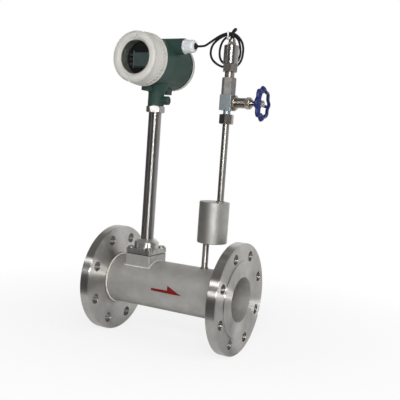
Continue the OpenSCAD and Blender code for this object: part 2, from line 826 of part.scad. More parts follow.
module barrel_blank() {
    on_head_axis() rotate_extrude() polygon([
        [0, -rear_end], [thread_r - 1, -rear_end], [thread_r, 1 - rear_end], [thread_r, -housing_rear],
        [housing_r - 1, -housing_rear], [housing_r, 1 - housing_rear],
        [housing_r, housing_front - collar_taper],
        [collar_d / 2, housing_front - 1], [collar_d / 2 - 1, housing_front],
        [thread_r, housing_front], [thread_r, front_end - 1], [thread_r - 1, front_end], [0, front_end]
    ]);
}

module neck_blank() {
    cone_h = 20;
    cone_top = head_z - housing_r + 8;
    translate([sensor_x, 0, neck_z]) cylinder(d = neck_d, h = head_z - chamber_r - neck_z);
    translate([sensor_x, 0, cone_top - cone_h]) cylinder(d1 = neck_d, d2 = 1.6 * neck_d, h = cone_h);
    along_x(sensor_x, 0, set_screw_z) cylinder(d = set_boss_d, h = set_boss_reach);
}

// Lug under the barrel, set back from the shoulder
module lock_lug(shoulder, setback, side) {
    translate([sensor_x, 0, head_z - housing_r - lug_t]) mirror([0, side > 0 ? 0 : 1, 0])
        translate([-lug_w / 2, shoulder - setback - lug_length, 0]) cube([lug_w, lug_length, lug_t + 2]);
}

// Way of a lock screw through its lug and along the barrel, with room for its head
module lock_way(shoulder, setback, side) {
    start = shoulder - setback - lug_length;
    translate([sensor_x, 0, lock_screw_z]) mirror([0, side > 0 ? 0 : 1, 0]) rotate([-90, 0, 0]) {
        translate([0, 0, start - cut])
            cylinder(d = lock_screw_d + 2 * fit_gap, h = setback + lug_length + 2 * cut);
        translate([0, 0, start - lock_head_t - fit_gap])
            cylinder(d = lock_head_d + 2 * fit_gap, h = lock_head_t + fit_gap);
    }
}

module converter_housing() {
    color(green_paint) difference() {
        union() {
            barrel_blank();
            neck_blank();
            along_x(sensor_x - entry_reach, 0, entry_z) cylinder(d = entry_boss_d, h = 2 * entry_reach);
            lock_lug(housing_front, lug_setback, -1);
            lock_lug(housing_rear, rear_lug_setback, 1);
        }
        on_head_axis() {
            translate([0, 0, partition_y + partition_t]) cylinder(r = chamber_r, h = front_end);
            translate([0, 0, -rear_end - cut]) cylinder(r = chamber_r, h = rear_end + partition_y + cut);
            translate([0, -chamber_r / 2, 0]) cylinder(d = 10, h = front_end);
        }
        along_x(sensor_x - entry_reach - cut, 0, entry_z)
            cylinder(d = entry_thread_d + 2 * fit_gap, h = 2 * entry_reach + 2 * cut);
        translate([sensor_x, 0, neck_z - cut]) cylinder(d = stem_od + 2 * fit_gap, h = stem_grip + 2 * cut);
        translate([sensor_x, 0, neck_z]) cylinder(d = stem_id, h = neck_height);
        along_x(sensor_x, 0, set_screw_z) cylinder(d = set_screw_d + 2 * fit_gap, h = set_boss_reach + cut);
        lock_way(housing_front, lug_setback, -1);
        lock_way(housing_rear, rear_lug_setback, 1);
    }
}

module neck_set_screw() {
    x0 = stem_od / 2 + fit_gap;
    length = set_boss_reach - x0 - 1;
    color(polished) along_x(sensor_x + x0, 0, set_screw_z) difference() {
        cylinder(d = set_screw_d, h = length);
        translate([0, 0, length - set_screw_d / 2]) hexagon(set_screw_d / 2, set_screw_d);
    }
}

// Screw whose tip bears on the edge of a closed cover
module lock_screw(shoulder, setback, side) {
    shank = lug_length + setback + run_gap / 2;
    translate([sensor_x, 0, lock_screw_z]) mirror([0, side > 0 ? 0 : 1, 0])
        translate([0, shoulder - setback - lug_length, 0]) rotate([-90, 0, 0]) difference() {
            union() {
                cylinder(d = lock_screw_d, h = shank);
                translate([0, 0, -lock_head_t]) cylinder(d = lock_head_d, h = lock_head_t);
            }
            translate([0, 0, -1.5 * lock_head_t]) hexagon(lock_screw_d * 0.8, lock_head_t);
        }
}

module cover_lock_screws() {
    color(polished) {
        lock_screw(housing_front, lug_setback, -1);
        lock_screw(housing_rear, rear_lug_setback, 1);
    }
}

// Grip band: a wheel of low teeth, measured at the tips
module toothed_band(tip_r, height, w) {
    root_r = tip_r - height - cover_edge;
    pitch = 360 / cover_teeth;
    linear_extrude(w) polygon([
        for (i = [0 : cover_teeth - 1]) each [
            root_r * [cos(i * pitch), sin(i * pitch)],
            tip_r * [cos((i + 0.2) * pitch), sin((i + 0.2) * pitch)],
            tip_r * [cos((i + 0.6) * pitch), sin((i + 0.6) * pitch)],
            root_r * [cos((i + 0.8) * pitch), sin((i + 0.8) * pitch)]
        ]
    ]);
}

// Two slots across the flat face of a cover for a bar spanner
module spanner_slots(inner_r, outer_r, z_face) {
    for (side = [0, 180])
        rotate(90 + side - spanner_slot_turn)
            translate([inner_r, -spanner_slot_w / 2, z_face - spanner_slot_depth])
                cube([outer_r - inner_r + cut, spanner_slot_w, spanner_slot_depth + cut]);
}

module front_cover() {
    rim_r = front_rim_d / 2 - tooth_h;
    face_r = front_face_d / 2;
    window_r = window_d / 2;
    glass_r = glass_d / 2 + fit_gap;
    bore_end = retainer_z0 - run_gap;
    color(cream_paint) on_head_axis() difference() {
        union() {
            rotate_extrude() polygon([
                [seal_bore_r, front_z0], [rim_r, front_z0], [rim_r, front_z0 + tooth_band_w + cover_edge],
                for (a = [0 : 15 : 90])
                    [face_r - face_round * (1 - cos(a)), front_z1 - face_round * (1 - sin(a))],
                [window_r + window_flare, front_z1], [window_r, front_z1 - window_flare_h],
                [window_r, glass_z1], [glass_r, glass_z1], [glass_r, bore_end], [thread_bore_r, bore_end],
                [thread_bore_r, front_z0 + seal_seat_h], [seal_bore_r, front_z0 + seal_seat_h]
            ]);
            translate([0, 0, front_z0 + cover_edge / 2]) difference() {
                toothed_band(front_rim_d / 2, tooth_h, tooth_band_w);
                translate([0, 0, -cut]) cylinder(r = (rim_r + seal_bore_r) / 2, h = tooth_band_w + 2 * cut);
            }
        }
        spanner_slots(window_r + cover_edge, face_r + 2 * cover_edge, front_z1);
    }
}

module window_glass() {
    color([0.75, 0.85, 0.85, 0.35]) on_head_axis() translate([0, 0, glass_z0])
        cylinder(d = glass_d, h = glass_t);
}

module glass_retainer() {
    color(dark_plastic) on_head_axis() translate([0, 0, retainer_z0]) difference() {
        cylinder(d = glass_d, h = retainer_t);
        translate([0, 0, -cut]) cylinder(d = window_d + 2, h = retainer_t + 2 * cut);
    }
}

module cover_seal(z0) {
    rotate_extrude() translate([thread_bore_r + seal_t / 2, z0 + run_gap + seal_t / 2]) circle(d = seal_t);
}

module front_cover_seal() {
    color(black_rubber) on_head_axis() cover_seal(front_z0);
}

module rear_cover() {
    rim_r = rear_rim_d / 2 - rear_tooth_h;
    face_r = rear_face_d / 2;
    wall = 4;
    bore_end = rear_z1 - wall;
    color(cream_paint) on_head_axis_rear() difference() {
        union() {
            rotate_extrude() polygon([
                [seal_bore_r, rear_z0], [rim_r, rear_z0], [rim_r, rear_z0 + rear_band_w + cover_edge],
                [face_r + 2 * cover_edge, rear_z1 - cover_edge], [face_r, rear_z1], [0, rear_z1],
                [0, bore_end], [thread_bore_r, bore_end],
                [thread_bore_r, rear_z0 + seal_seat_h], [seal_bore_r, rear_z0 + seal_seat_h]
            ]);
            translate([0, 0, rear_z0 + cover_edge / 2]) difference() {
                toothed_band(rear_rim_d / 2, rear_tooth_h, rear_band_w);
                translate([0, 0, -cut]) cylinder(r = (rim_r + seal_bore_r) / 2, h = rear_band_w + 2 * cut);
            }
        }
        spanner_slots(face_r * 0.7, face_r + 2 * cover_edge, rear_z1);
    }
}

module rear_cover_seal() {
    color(black_rubber) on_head_axis_rear() cover_seal(rear_z0);
}

// Display and terminals inside the head

module at_board_posts() {
    for (a = [45 : 90 : 315])
        rotate(a) translate([post_r, 0, 0]) children();
}

module board_posts() {
    color(polished) on_head_axis() at_board_posts() translate([0, 0, partition_y + partition_t])
        cylinder(d = post_d, h = post_length);
}

module display_board() {
    color([0.10, 0.30, 0.18]) on_head_axis() translate([0, 0, tray_back - board_t])
        cylinder(r = tray_r, h = board_t);
}

module display_tray() {
    color(dark_plastic) on_head_axis() difference() {
        translate([0, 0, tray_back]) rotate_extrude() polygon([
            [0, 0], [tray_r, 0], [tray_r, tray_t - cover_edge], [tray_r - cover_edge, tray_t], [0, tray_t]
        ]);
        translate([-lcd_w / 2 - fit_gap, -lcd_h / 2 - fit_gap, tray_front - lcd_pocket])
            cube([lcd_w + 2 * fit_gap, lcd_h + 2 * fit_gap, lcd_pocket + cut]);
    }
}

module display_panel() {
    color([0.20, 0.27, 0.27]) on_head_axis()
        translate([-lcd_w / 2, -lcd_h / 2, tray_front - lcd_pocket])
            cube([lcd_w, lcd_h, lcd_pocket + lcd_proud]);
}

module tray_screws() {
    head_d = 4;
    head_t = 1.6;
    color(polished) on_head_axis() for (a = [0 : 90 : 270])
        rotate(a) translate([tray_screw_r, 0, tray_front]) difference() {
            cylinder(d = head_d, h = head_t);
            translate([-head_d, -0.4, head_t - 0.8]) cube([2 * head_d, 0.8, head_t]);
        }
}

module terminal_block() {
    drop = 6;
    color(dark_plastic) on_head_axis() difference() {
        translate([-terminal_w / 2, -terminal_h / 2 - drop, partition_y - terminal_depth])
            cube([terminal_w, terminal_h, terminal_depth]);
        for (i = [0 : terminal_count - 1])
            translate([(i + 0.5) * terminal_w / terminal_count - terminal_w / 2, -drop - terminal_h / 2 - cut,
                       partition_y - terminal_depth / 2]) rotate([-90, 0, 0])
                cylinder(d = 3.4, h = terminal_h / 2);
    }
}

module terminal_screws() {
    drop = 6;
    head_d = 5;
    head_t = 1.8;
    color(polished) on_head_axis() for (i = [0 : terminal_count - 1])
        translate([(i + 0.5) * terminal_w / terminal_count - terminal_w / 2, -drop,
                   partition_y - terminal_depth - head_t]) difference() {
            cylinder(d = head_d, h = head_t);
            translate([-head_d, -0.5, -cut]) cube([2 * head_d, 1, head_t / 2 + cut]);
        }
}

// Cable entries

module entry_plug() {
    head_l = 7;
    color(polished) translate([sensor_x - entry_reach, 0, entry_z]) rotate([0, -90, 0]) {
        turned_hexagon(gland_af, head_l, low = false);
        translate([0, 0, -entry_thread_depth])
            cylinder(d = entry_thread_d, h = entry_thread_depth + head_l / 2);
    }
}

module gland_body() {
    nose_l = gland_nut_l * 0.55;
    color(white_plastic) difference() {
        union() {
            along_x(entry_end - entry_thread_depth)
                translate([-entry_z, 0, 0])
                    cylinder(d = entry_thread_d, h = entry_thread_depth + gland_hex_l / 2);
            along_x(entry_end, 0, entry_z) turned_hexagon(gland_af, gland_hex_l);
            along_x(gland_hex_end - gland_hex_l / 2, 0, entry_z)
                cylinder(d = gland_thread_d, h = nose_l + gland_hex_l / 2);
        }
        along_x(entry_end - entry_thread_depth - cut, 0, entry_z)
            cylinder(d = gland_bore_d, h = gland_nut_end - entry_end + entry_thread_depth);
    }
}

module gland_nut() {
    nose_l = gland_nut_l * 0.55;
    dome_l = gland_nut_l * 0.35;
    mouth_r = gland_bore_d / 2;
    grooves = 12;
    color(white_plastic) along_x(gland_hex_end, 0, entry_z) difference() {
        rotate_extrude() polygon(concat(
            [[gland_thread_d / 2 + fit_gap, 0], [gland_nut_d / 2, 0]],
            [for (a = [0 : 15 : 75])
                [mouth_r + 1.5 + (gland_nut_d / 2 - mouth_r - 1.5) * cos(a),
                    gland_nut_l - dome_l + dome_l * sin(a)]],
            [[mouth_r, gland_nut_l], [mouth_r, nose_l + 2 * fit_gap],
             [gland_thread_d / 2 + fit_gap, nose_l + 2 * fit_gap]]
        ));
        for (i = [0 : grooves - 1])
            rotate((i + 0.5) * 360 / grooves) translate([gland_nut_d / 2 + 0.5, 0, -cut])
                cylinder(d = 2, h = gland_nut_l - dome_l, $fn = 24);
    }
}

module gland_seal() {
    nose_l = gland_nut_l * 0.55;
    color(black_rubber) along_x(gland_hex_end, 0, entry_z) rotate_extrude() polygon([
        [0, nose_l * 0.4], [gland_bore_d / 2 - fit_gap, nose_l * 0.4],
        [gland_bore_d / 2 - fit_gap, gland_nut_l],
        [gland_tip_d / 2, gland_nut_l + gland_tip_l], [0, gland_nut_l + gland_tip_l]
    ]);
}

module signal_cable() {
    color(black_rubber) swept_tube(cable_route, cable_d / 2, cable_sides);
}

module cable_tie() {
    corner = 2.4;
    color(white_plastic) translate(loop_to_part([tie_along, tie_back, tie_up])) rotate([0, 0, loop_turn])
        rotate([90, 0, 90]) translate([0, 0, -tie_w / 2]) linear_extrude(tie_w) difference() {
            rounded_rectangle(tie_inner[0] + 2 * tie_t, tie_inner[1] + 2 * tie_t, corner + tie_t);
            rounded_rectangle(tie_inner[0], tie_inner[1], corner);
        }
}

// Siphon pot and pipes

module tap_pipe() {
    color(stainless) translate([tap_x, 0, 0]) pipe(tap_z, pot_z0 + pot_end_t + pipe_dip);
}

module riser_pipe() {
    color(stainless) translate([riser_x, 0, 0]) pipe(pot_z1 - pot_end_t - pipe_dip, nipple_z - fit_gap);
}

module siphon_pot() {
    edge = 1;
    r = pot_d / 2;
    color(stainless) difference() {
        translate([pot_x, 0, pot_z0]) rotate_extrude() polygon([
            [0, 0], [r - edge, 0], [r, edge], [r, pot_h - edge], [r - edge, pot_h], [0, pot_h],
            [0, pot_h - pot_end_t], [r - pot_wall, pot_h - pot_end_t], [r - pot_wall, pot_end_t], [0, pot_end_t]
        ]);
        translate([tap_x, 0, pot_z0 - cut]) cylinder(d = pipe_hole_d, h = pot_end_t + 2 * cut);
        translate([riser_x, 0, pot_z1 - pot_end_t - cut]) cylinder(d = pipe_hole_d, h = pot_end_t + 2 * cut);
    }
}

// Needle valve

module union_nut() {
    color(polished) translate([riser_x, 0, union_z]) difference() {
        rotate(union_turn) turned_hexagon(union_af, union_h);
        translate([0, 0, -cut]) cylinder(d = pipe_hole_d, h = union_h);
        translate([0, 0, union_floor]) cylinder(d = union_thread_d + 2 * fit_gap, h = union_h);
    }
}

module ferrule() {
    color(polished) translate([riser_x, 0, union_z + union_floor]) difference() {
        cylinder(d1 = union_thread_d - 1, d2 = pipe_od + 2, h = ferrule_h - fit_gap);
        translate([0, 0, -cut]) cylinder(d = pipe_hole_d, h = ferrule_h + 2 * cut);
    }
}

module valve_body() {
    thread_z1 = union_z + union_h - 1;
    port_turn = atan2(riser_x - seat_x + 5, valve_z - nipple_z - 12);
    color(stainless) difference() {
        union() {
            translate([riser_x, 0, block_z0]) linear_extrude(block_h) rounded_rectangle(block_w, block_w, 1);
            translate([riser_x, 0, nipple_z]) cylinder(d = union_thread_d, h = thread_z1 - nipple_z);
            translate([riser_x, 0, nipple_z]) cylinder(d = nipple_neck_d, h = block_z0 - nipple_z + cut);
            translate([riser_x, 0, block_z1 - cut])
                cylinder(d = connector_thread_d, h = connector_thread_l + cut);
        }
        translate([riser_x, 0, nipple_z - cut]) cylinder(d = port_d, h = 12 + cut);
        translate([riser_x, 0, nipple_z + 10]) rotate([0, -port_turn, 0])
            cylinder(d = port_d * 0.7, h = (valve_z - nipple_z - 10) / cos(port_turn));
        translate([riser_x, 0, valve_z]) cylinder(d = port_d, h = block_h + connector_thread_l);
        along_x(seat_x - 6, 0, valve_z) cylinder(d = seat_d, h = block_w);
        along_x(seat_x, 0, valve_z) cylinder(d = needle_chamber_d, h = block_w);
        along_x(block_face - spigot_l, 0, valve_z) cylinder(d = spigot_d + 2 * fit_gap, h = spigot_l + cut);
    }
}

module valve_bonnet() {
    x0 = block_face - spigot_l + fit_gap;
    color(stainless) difference() {
        union() {
            along_x(x0, 0, valve_z) cylinder(d = spigot_d, h = block_face - x0 + cut);
            along_x(block_face, 0, valve_z) turned_hexagon(bonnet_af, bonnet_hex_l, low = false);
            along_x(bonnet_hex_end - cut, 0, valve_z) cylinder(d = bonnet_d, h = bonnet_l + cut);
            along_x(bonnet_end - cut, 0, valve_z) cylinder(d = bonnet_thread_d, h = bonnet_thread_l + cut);
        }
        along_x(x0 - cut, 0, valve_z)
            cylinder(d = needle_chamber_d, h = needle_end + needle_lift + 1 - x0 + cut);
        along_x(x0 - cut, 0, valve_z) cylinder(d = spindle_hole_d, h = bonnet_tip - x0 + 2 * cut);
        along_x(bonnet_tip - packing_l, 0, valve_z) cylinder(d = packing_d + 2 * fit_gap, h = packing_l + cut);
    }
}

module valve_packing() {
    color(white_plastic) along_x(bonnet_tip - packing_l, 0, valve_z) difference() {
        cylinder(d = packing_d, h = packing_l);
        translate([0, 0, -cut]) cylinder(d = spindle_hole_d, h = packing_l + 2 * cut);
    }
}

module packing_nut() {
    pocket = bonnet_tip - packing_nut_x + fit_gap;
    color(stainless) along_x(packing_nut_x, 0, valve_z) difference() {
        union() {
            turned_hexagon(packing_nut_af, packing_nut_l, low = false);
            translate([0, 0, packing_nut_l])
                cylinder(d1 = packing_nut_af * 0.85, d2 = spindle_d + 4, h = packing_cone_l);
        }
        translate([0, 0, -cut]) cylinder(d = bonnet_thread_d + 2 * fit_gap, h = pocket + cut);
        cylinder(d = spindle_hole_d, h = packing_nut_l + packing_cone_l + cut);
    }
}

module valve_needle() {
    cone_l = 5.5;
    color(polished) along_x(needle_tip, 0, valve_z) difference() {
        union() {
            cylinder(d1 = 1, d2 = 6, h = cone_l);
            translate([0, 0, cone_l]) cylinder(d = needle_d, h = needle_end - needle_tip - cone_l);
        }
        translate([0, 0, needle_end - needle_tip - pivot_l - run_gap])
            cylinder(d = pivot_d + 2 * run_gap, h = pivot_l + run_gap + cut);
    }
}

module valve_stem() {
    x0 = needle_end + run_gap;
    color(polished) {
        along_x(x0 - pivot_l, 0, valve_z) cylinder(d = pivot_d, h = pivot_l + cut);
        along_x(x0, 0, valve_z) cylinder(d = spindle_d, h = wheel_nut_end + 1 - x0);
    }
}

module handwheel() {
    color(wheel_blue) difference() {
        union() {
            translate([wheel_x, 0, valve_z]) lobed_ring(rim_mid_r, lobe_h / 2, wheel_lobes, rim_w, rim_t);
            along_x(hub_x0, 0, valve_z) cylinder(d = hub_d, h = hub_l);
            for (i = [0 : wheel_spokes - 1])
                translate([hub_x, 0, valve_z]) rotate([spoke_start - 90 + i * 360 / wheel_spokes, 0, 0])
                    rotate([0, atan2(wheel_dish, rim_mid_r), 0])
                        cylinder(d1 = spoke_d, d2 = spoke_d * 0.7, h = norm([wheel_dish, rim_mid_r]));
        }
        along_x(hub_x0 - cut, 0, valve_z) cylinder(d = spindle_d + 2 * fit_gap, h = hub_l + 2 * cut);
    }
}

module handwheel_nut() {
    color(polished) along_x(hub_x1, 0, valve_z) difference() {
        turned_hexagon(wheel_nut_af, wheel_nut_h, low = false);
        translate([0, 0, -cut]) cylinder(d = spindle_d + 2 * fit_gap, h = wheel_nut_h + 2 * cut);
    }
}

// Pressure transmitter

module transmitter_connector() {
    socket_d = connector_thread_d + 2 * fit_gap;
    socket_l = connector_thread_l + 1;
    color(stainless) translate([riser_x, 0, block_z1]) difference() {
        rotate(connector_turn) turned_hexagon(connector_af, connector_h);
        translate([0, 0, -cut]) cylinder(d = socket_d, h = socket_l + cut);
        cylinder(d = port_d, h = connector_h);
        translate([0, 0, connector_h - socket_l]) cylinder(d = socket_d, h = socket_l + cut);
    }
}

module transmitter_base() {
    color(polished) translate([riser_x, 0, 0]) difference() {
        union() {
            translate([0, 0, connector_z1 - connector_thread_l])
                cylinder(d = connector_thread_d, h = connector_thread_l + cut);
            translate([0, 0, connector_z1]) cylinder(d = stub_d, h = stub_h + cut);
            translate([0, 0, stub_z1]) turned_hexagon(base_af, base_h);
        }
        translate([0, 0, connector_z1 - connector_thread_l - cut])
            cylinder(d = port_d, h = connector_thread_l + stub_h + base_h / 2);
    }
}

module transmitter_case() {
    edge = 1;
    r = case_d / 2;
    color(polished) translate([riser_x, 0, base_z1]) rotate_extrude() polygon([
        [r - case_wall, 0], [r, 0], [r, case_h - edge], [r - edge, case_h], [0, case_h],
        [0, case_h - case_wall], [r - case_wall, case_h - case_wall]
    ]);
}

module transmitter_cap() {
    color(polished) translate([riser_x, 0, case_z1]) {
        turned_hexagon(cap_af, cap_hex_h, low = false);
        translate([0, 0, cap_hex_h / 2]) cylinder(d = cap_collar_d, h = cap_hex_h / 2 + cap_collar_h);
    }
}

module cable_boot() {
    color(black_rubber) translate([riser_x, 0, cap_z1]) cylinder(d1 = boot_d, d2 = boot_tip_d, h = boot_h);
}

inlet_flange();
outlet_flange();
measuring_tube();
weld_beads();
bluff_body();
sensor_probe();
sensor_pad();
sensor_gasket();
clamp_plate();
plate_bolts();
plate_washers();
stem_tube();
jam_nut();
converter_housing();
neck_set_screw();
cover_lock_screws();
front_cover();
window_glass();
glass_retainer();
front_cover_seal();
rear_cover();
rear_cover_seal();
display_tray();
display_panel();
display_board();
board_posts();
tray_screws();
terminal_block();
terminal_screws();
entry_plug();
gland_body();
gland_nut();
gland_seal();
signal_cable();
cable_tie();
tap_pipe();
siphon_pot();
riser_pipe();
union_nut();
ferrule();
valve_body();
valve_bonnet();
valve_packing();
packing_nut();
valve_needle();
valve_stem();
handwheel();
handwheel_nut();
transmitter_connector();
transmitter_base();
transmitter_case();
transmitter_cap();
cable_boot();
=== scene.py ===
"""Looks of a vortex flow meter: finishes, fine detail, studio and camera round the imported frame."""
from __future__ import annotations

import json
import logging
import math
from dataclasses import dataclass, field, replace
from enum import Enum
from typing import Any, Callable, Sequence

import bmesh
import bpy
from bpy.types import Material, Mesh, MeshPolygon, Modifier, Node, NodeSocket, NodeTree, Object
from mathutils import Matrix, Vector

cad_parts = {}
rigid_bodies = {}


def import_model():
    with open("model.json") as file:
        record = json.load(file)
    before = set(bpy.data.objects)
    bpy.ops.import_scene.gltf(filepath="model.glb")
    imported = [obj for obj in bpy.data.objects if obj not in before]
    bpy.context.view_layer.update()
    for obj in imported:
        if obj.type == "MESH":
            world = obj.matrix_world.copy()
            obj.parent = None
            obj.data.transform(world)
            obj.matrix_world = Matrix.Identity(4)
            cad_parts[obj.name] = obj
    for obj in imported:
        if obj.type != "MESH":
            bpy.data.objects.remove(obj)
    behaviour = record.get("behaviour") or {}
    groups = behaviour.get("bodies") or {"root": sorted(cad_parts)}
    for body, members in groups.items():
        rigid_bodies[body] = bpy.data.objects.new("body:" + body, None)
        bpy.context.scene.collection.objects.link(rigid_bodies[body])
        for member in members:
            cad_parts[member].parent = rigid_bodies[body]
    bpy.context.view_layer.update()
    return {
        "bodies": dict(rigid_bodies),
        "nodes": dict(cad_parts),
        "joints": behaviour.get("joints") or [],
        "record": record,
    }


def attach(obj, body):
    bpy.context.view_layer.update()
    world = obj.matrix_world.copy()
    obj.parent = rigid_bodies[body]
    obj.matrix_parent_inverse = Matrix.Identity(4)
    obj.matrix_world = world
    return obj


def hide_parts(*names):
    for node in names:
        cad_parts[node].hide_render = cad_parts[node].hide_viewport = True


LOG = logging.getLogger("flow_meter")
MM = 0.001
WHITE = (1.0, 1.0, 1.0, 1.0)
EVEN = (1.0, 1.0, 1.0)
Point = tuple[float, float, float]
Section = tuple[tuple[float, float], ...]


class Body(Enum):
    """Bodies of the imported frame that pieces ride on."""

    METER = "meter"
    FRONT_LID = "front_lid"
    REAR_LID = "rear_lid"
    WHEEL = "wheel"


class Axis(Enum):
    """Axes that turning marks and round pieces follow."""

    X = 0
    Y = 1
    Z = 2

    def line(self) -> Point:
        """Unit vector along the axis."""
        return tuple(float(axis is self) for axis in Axis)


def linear(code: str) -> tuple[float, float, float, float]:
    """Turns an sRGB hex colour into linear RGBA.

    Args:
        code: Six hex digits, such as "c8c4bc".

    Returns:
        Red, green, blue and an alpha of one.
    """
    parts = [int(code[i : i + 2], 16) / 255 for i in (0, 2, 4)]
    r, g, b = (p / 12.92 if p <= 0.04045 else ((p + 0.055) / 1.055) ** 2.4 for p in parts)
    return r, g, b, 1.0


def add_node(tree: NodeTree, kind: str, links: dict[Any, Any] | None = None, **settings: Any) -> Node:
    """Adds one node with its settings, values and links.

    Args:
        tree: Shader or geometry tree that gets the node.
        kind: Blender's type name of the node.
        links: Input name or index to a value, an output socket, or a node for its first output.
        settings: Properties of the node.

    Returns:
        The new node.
    """
    item = tree.nodes.new(kind)
    for key, value in settings.items():
        setattr(item, key, value)
    for key, value in (links or {}).items():
        if isinstance(value, Node):
            value = value.outputs[0]
        if isinstance(value, NodeSocket):
            tree.links.new(value, item.inputs[key])
        else:
            item.inputs[key].default_value = value
    return item


def per_mm(size_mm: float) -> float:
    """Texture scale that gives a pattern of this size in millimetres on Object coordinates."""
    return 1.0 / (size_mm * MM)


# Finishes


@dataclass(frozen=True)
class Relief:
    """Fine relief of a surface, drawn coarser than real so that it shows.

    Attributes:
        size_mm: Size of its spots.
        depth_mm: Depth of its spots.
        strength: Share of the relief that shows.
        stretch: Scale along X, Y and Z; a small value draws the spots out into streaks.
        detail: Levels of finer detail.
    """

    size_mm: float
    depth_mm: float
    strength: float
    stretch: Point = EVEN
    detail: float = 2.0


HAIR_LINES = Relief(0.8, 0.02, 0.15, stretch=(1.0, 1.0, 0.02))
ORANGE_PEEL = Relief(1.6, 0.12, 0.25)


@dataclass(frozen=True)
class Finish:
    """A surface finish: soft clouds of colour and roughness, and the relief that its making left.

    Attributes:
        name: What the surface is and how it was made.
        colour: sRGB hex of the base colour.
        second: sRGB hex that the colour drifts towards.
        roughness: Middle roughness.
        metallic: One for bare metal.
        cloud_mm: Size of the clouds.
        rough_span: Change of roughness from the middle.
        gloss: Strength of the mirror-like part of a painted or moulded surface.
        relief: Fine relief of the surface.
        cloud_edge: Part of the clouds' range that is cut off at each side.
        cloud_detail: Levels of finer detail in the clouds.
        spot_roughness: How strong the finer detail of a pattern is.
    """

    name: str
    colour: str
    second: str
    roughness: float
    metallic: float = 0.0
    cloud_mm: float = 14.0
    rough_span: float = 0.05
    gloss: float = 0.5
    relief: Relief | None = None
    cloud_edge: float = 0.3
    cloud_detail: float = 5.0
    spot_roughness: float = 0.6

    def make(self) -> Material:
        """Builds the material.

        Returns:
            The finished material.
        """
        material = bpy.data.materials.new(self.name)
        material.use_nodes = True
        tree = material.node_tree
        tree.nodes.clear()
        shader = add_node(tree, "ShaderNodeBsdfPrincipled", self.inputs(tree))
        add_node(tree, "ShaderNodeOutputMaterial", {"Surface": shader})
        return material

    def inputs(self, tree: NodeTree) -> dict[str, Any]:
        """Lets colour and roughness wander, as on any handled surface, and adds the relief.

        Args:
            tree: The material's tree.

        Returns:
            The shader's inputs by name.
        """
        cloud = self.spots(tree, self.cloud_mm, detail=self.cloud_detail)
        middle = {"Value": cloud, "From Min": self.cloud_edge, "From Max": 1 - self.cloud_edge}
        share = add_node(tree, "ShaderNodeMapRange", middle)
        links = {0: share, 6: linear(self.colour), 7: linear(self.second)}
        drift = add_node(tree, "ShaderNodeMix", links, data_type="RGBA")
        low, high = self.roughness - self.rough_span, self.roughness + self.rough_span
        rough = add_node(tree, "ShaderNodeMapRange", middle | {"To Min": low, "To Max": high})
        found = {"Base Color": drift.outputs[2], "Roughness": rough}
        found |= {"Metallic": self.metallic, "Specular IOR Level": self.gloss}
        if self.relief:
            rise = self.relief
            height = self.spots(tree, rise.size_mm, rise.stretch, rise.detail)
            links = {"Height": height, "Distance": rise.depth_mm * MM, "Strength": rise.strength}
            found["Normal"] = add_node(tree, "ShaderNodeBump", links)
        return found

    def spots(self, tree: NodeTree, size_mm: float, stretch: Point = EVEN, detail: float = 3.0) -> Node:
        """Lays a pattern of spots of a real size on Object coordinates.

        Args:
            tree: The material's tree.
            size_mm: Size of the spots.
            stretch: Scale along X, Y and Z.
            detail: Levels of finer detail.

        Returns:
            The pattern's node.
        """
        where = add_node(tree, "ShaderNodeTexCoord").outputs["Object"]
        scaled = add_node(tree, "ShaderNodeMapping", {"Vector": where, "Scale": stretch})
        links = {"Vector": scaled, "Scale": per_mm(size_mm), "Detail": detail}
        return add_node(tree, "ShaderNodeTexNoise", links | {"Roughness": self.spot_roughness})


@dataclass(frozen=True)
class BlastedSteel(Finish):
    """Bead-blasted or pickled stainless steel: matt, with a fine even grain and faint stains."""

    metallic: float = 1.0
    relief: Relief | None = Relief(1.1, 0.05, 0.35)


@dataclass(frozen=True)
class TurnedSteel(Finish):
    """Lathe-turned stainless steel: fine rings about an axis that stretch each highlight across them.

    Attributes:
        axis: Axis of the lathe.
        centre_mm: A point on that axis.
        pitch_mm: Feed of the tool, drawn coarser than real so that it shows.
        depth_mm: Depth of the rings.
        rings: Share of the rings' relief that shows.
        waver: Unsteadiness of the tool.
        stretch: Strength of the stretched highlights.
        stretch_turn: Part of a turn from the rings' direction to the highlights'.
        wave_factor: The ring pattern's own scale.
    """

    metallic: float = 1.0
    axis: Axis = Axis.X
    centre_mm: Point = (0.0, 0.0, 0.0)
    pitch_mm: float = 1.4
    depth_mm: float = 0.03
    rings: float = 0.12
    waver: float = 0.15
    stretch: float = 0.75
    stretch_turn: float = 0.25
    wave_factor: float = 20.0

    def inputs(self, tree: NodeTree) -> dict[str, Any]:
        """Adds the tool's rings and the stretched highlights.

        Args:
            tree: The material's tree.

        Returns:
            The shader's inputs by name.
        """
        where = add_node(tree, "ShaderNodeTexCoord").outputs["Object"]
        shift = tuple(-c * MM for c in self.centre_mm)
        centred = add_node(tree, "ShaderNodeMapping", {"Vector": where, "Location": shift})
        links = {0: self.axis.line(), 1: centred}
        along = add_node(tree, "ShaderNodeVectorMath", links, operation="CROSS_PRODUCT")
        links = {"Vector": centred, "Scale": per_mm(self.pitch_mm) / self.wave_factor, "Distortion": self.waver}
        wave = add_node(tree, "ShaderNodeTexWave", links, wave_type="RINGS", rings_direction=self.axis.name)
        links = {"Height": wave.outputs["Fac"], "Distance": self.depth_mm * MM, "Strength": self.rings}
        found = super().inputs(tree) | {"Normal": add_node(tree, "ShaderNodeBump", links), "Tangent": along}
        return found | {"Anisotropic": self.stretch, "Anisotropic Rotation": self.stretch_turn}


@dataclass(frozen=True)
class DrawnSteel(Finish):
    """Drawn stainless bar or tube: bright, with hair lines along its upright length."""

    metallic: float = 1.0
    relief: Relief | None = HAIR_LINES


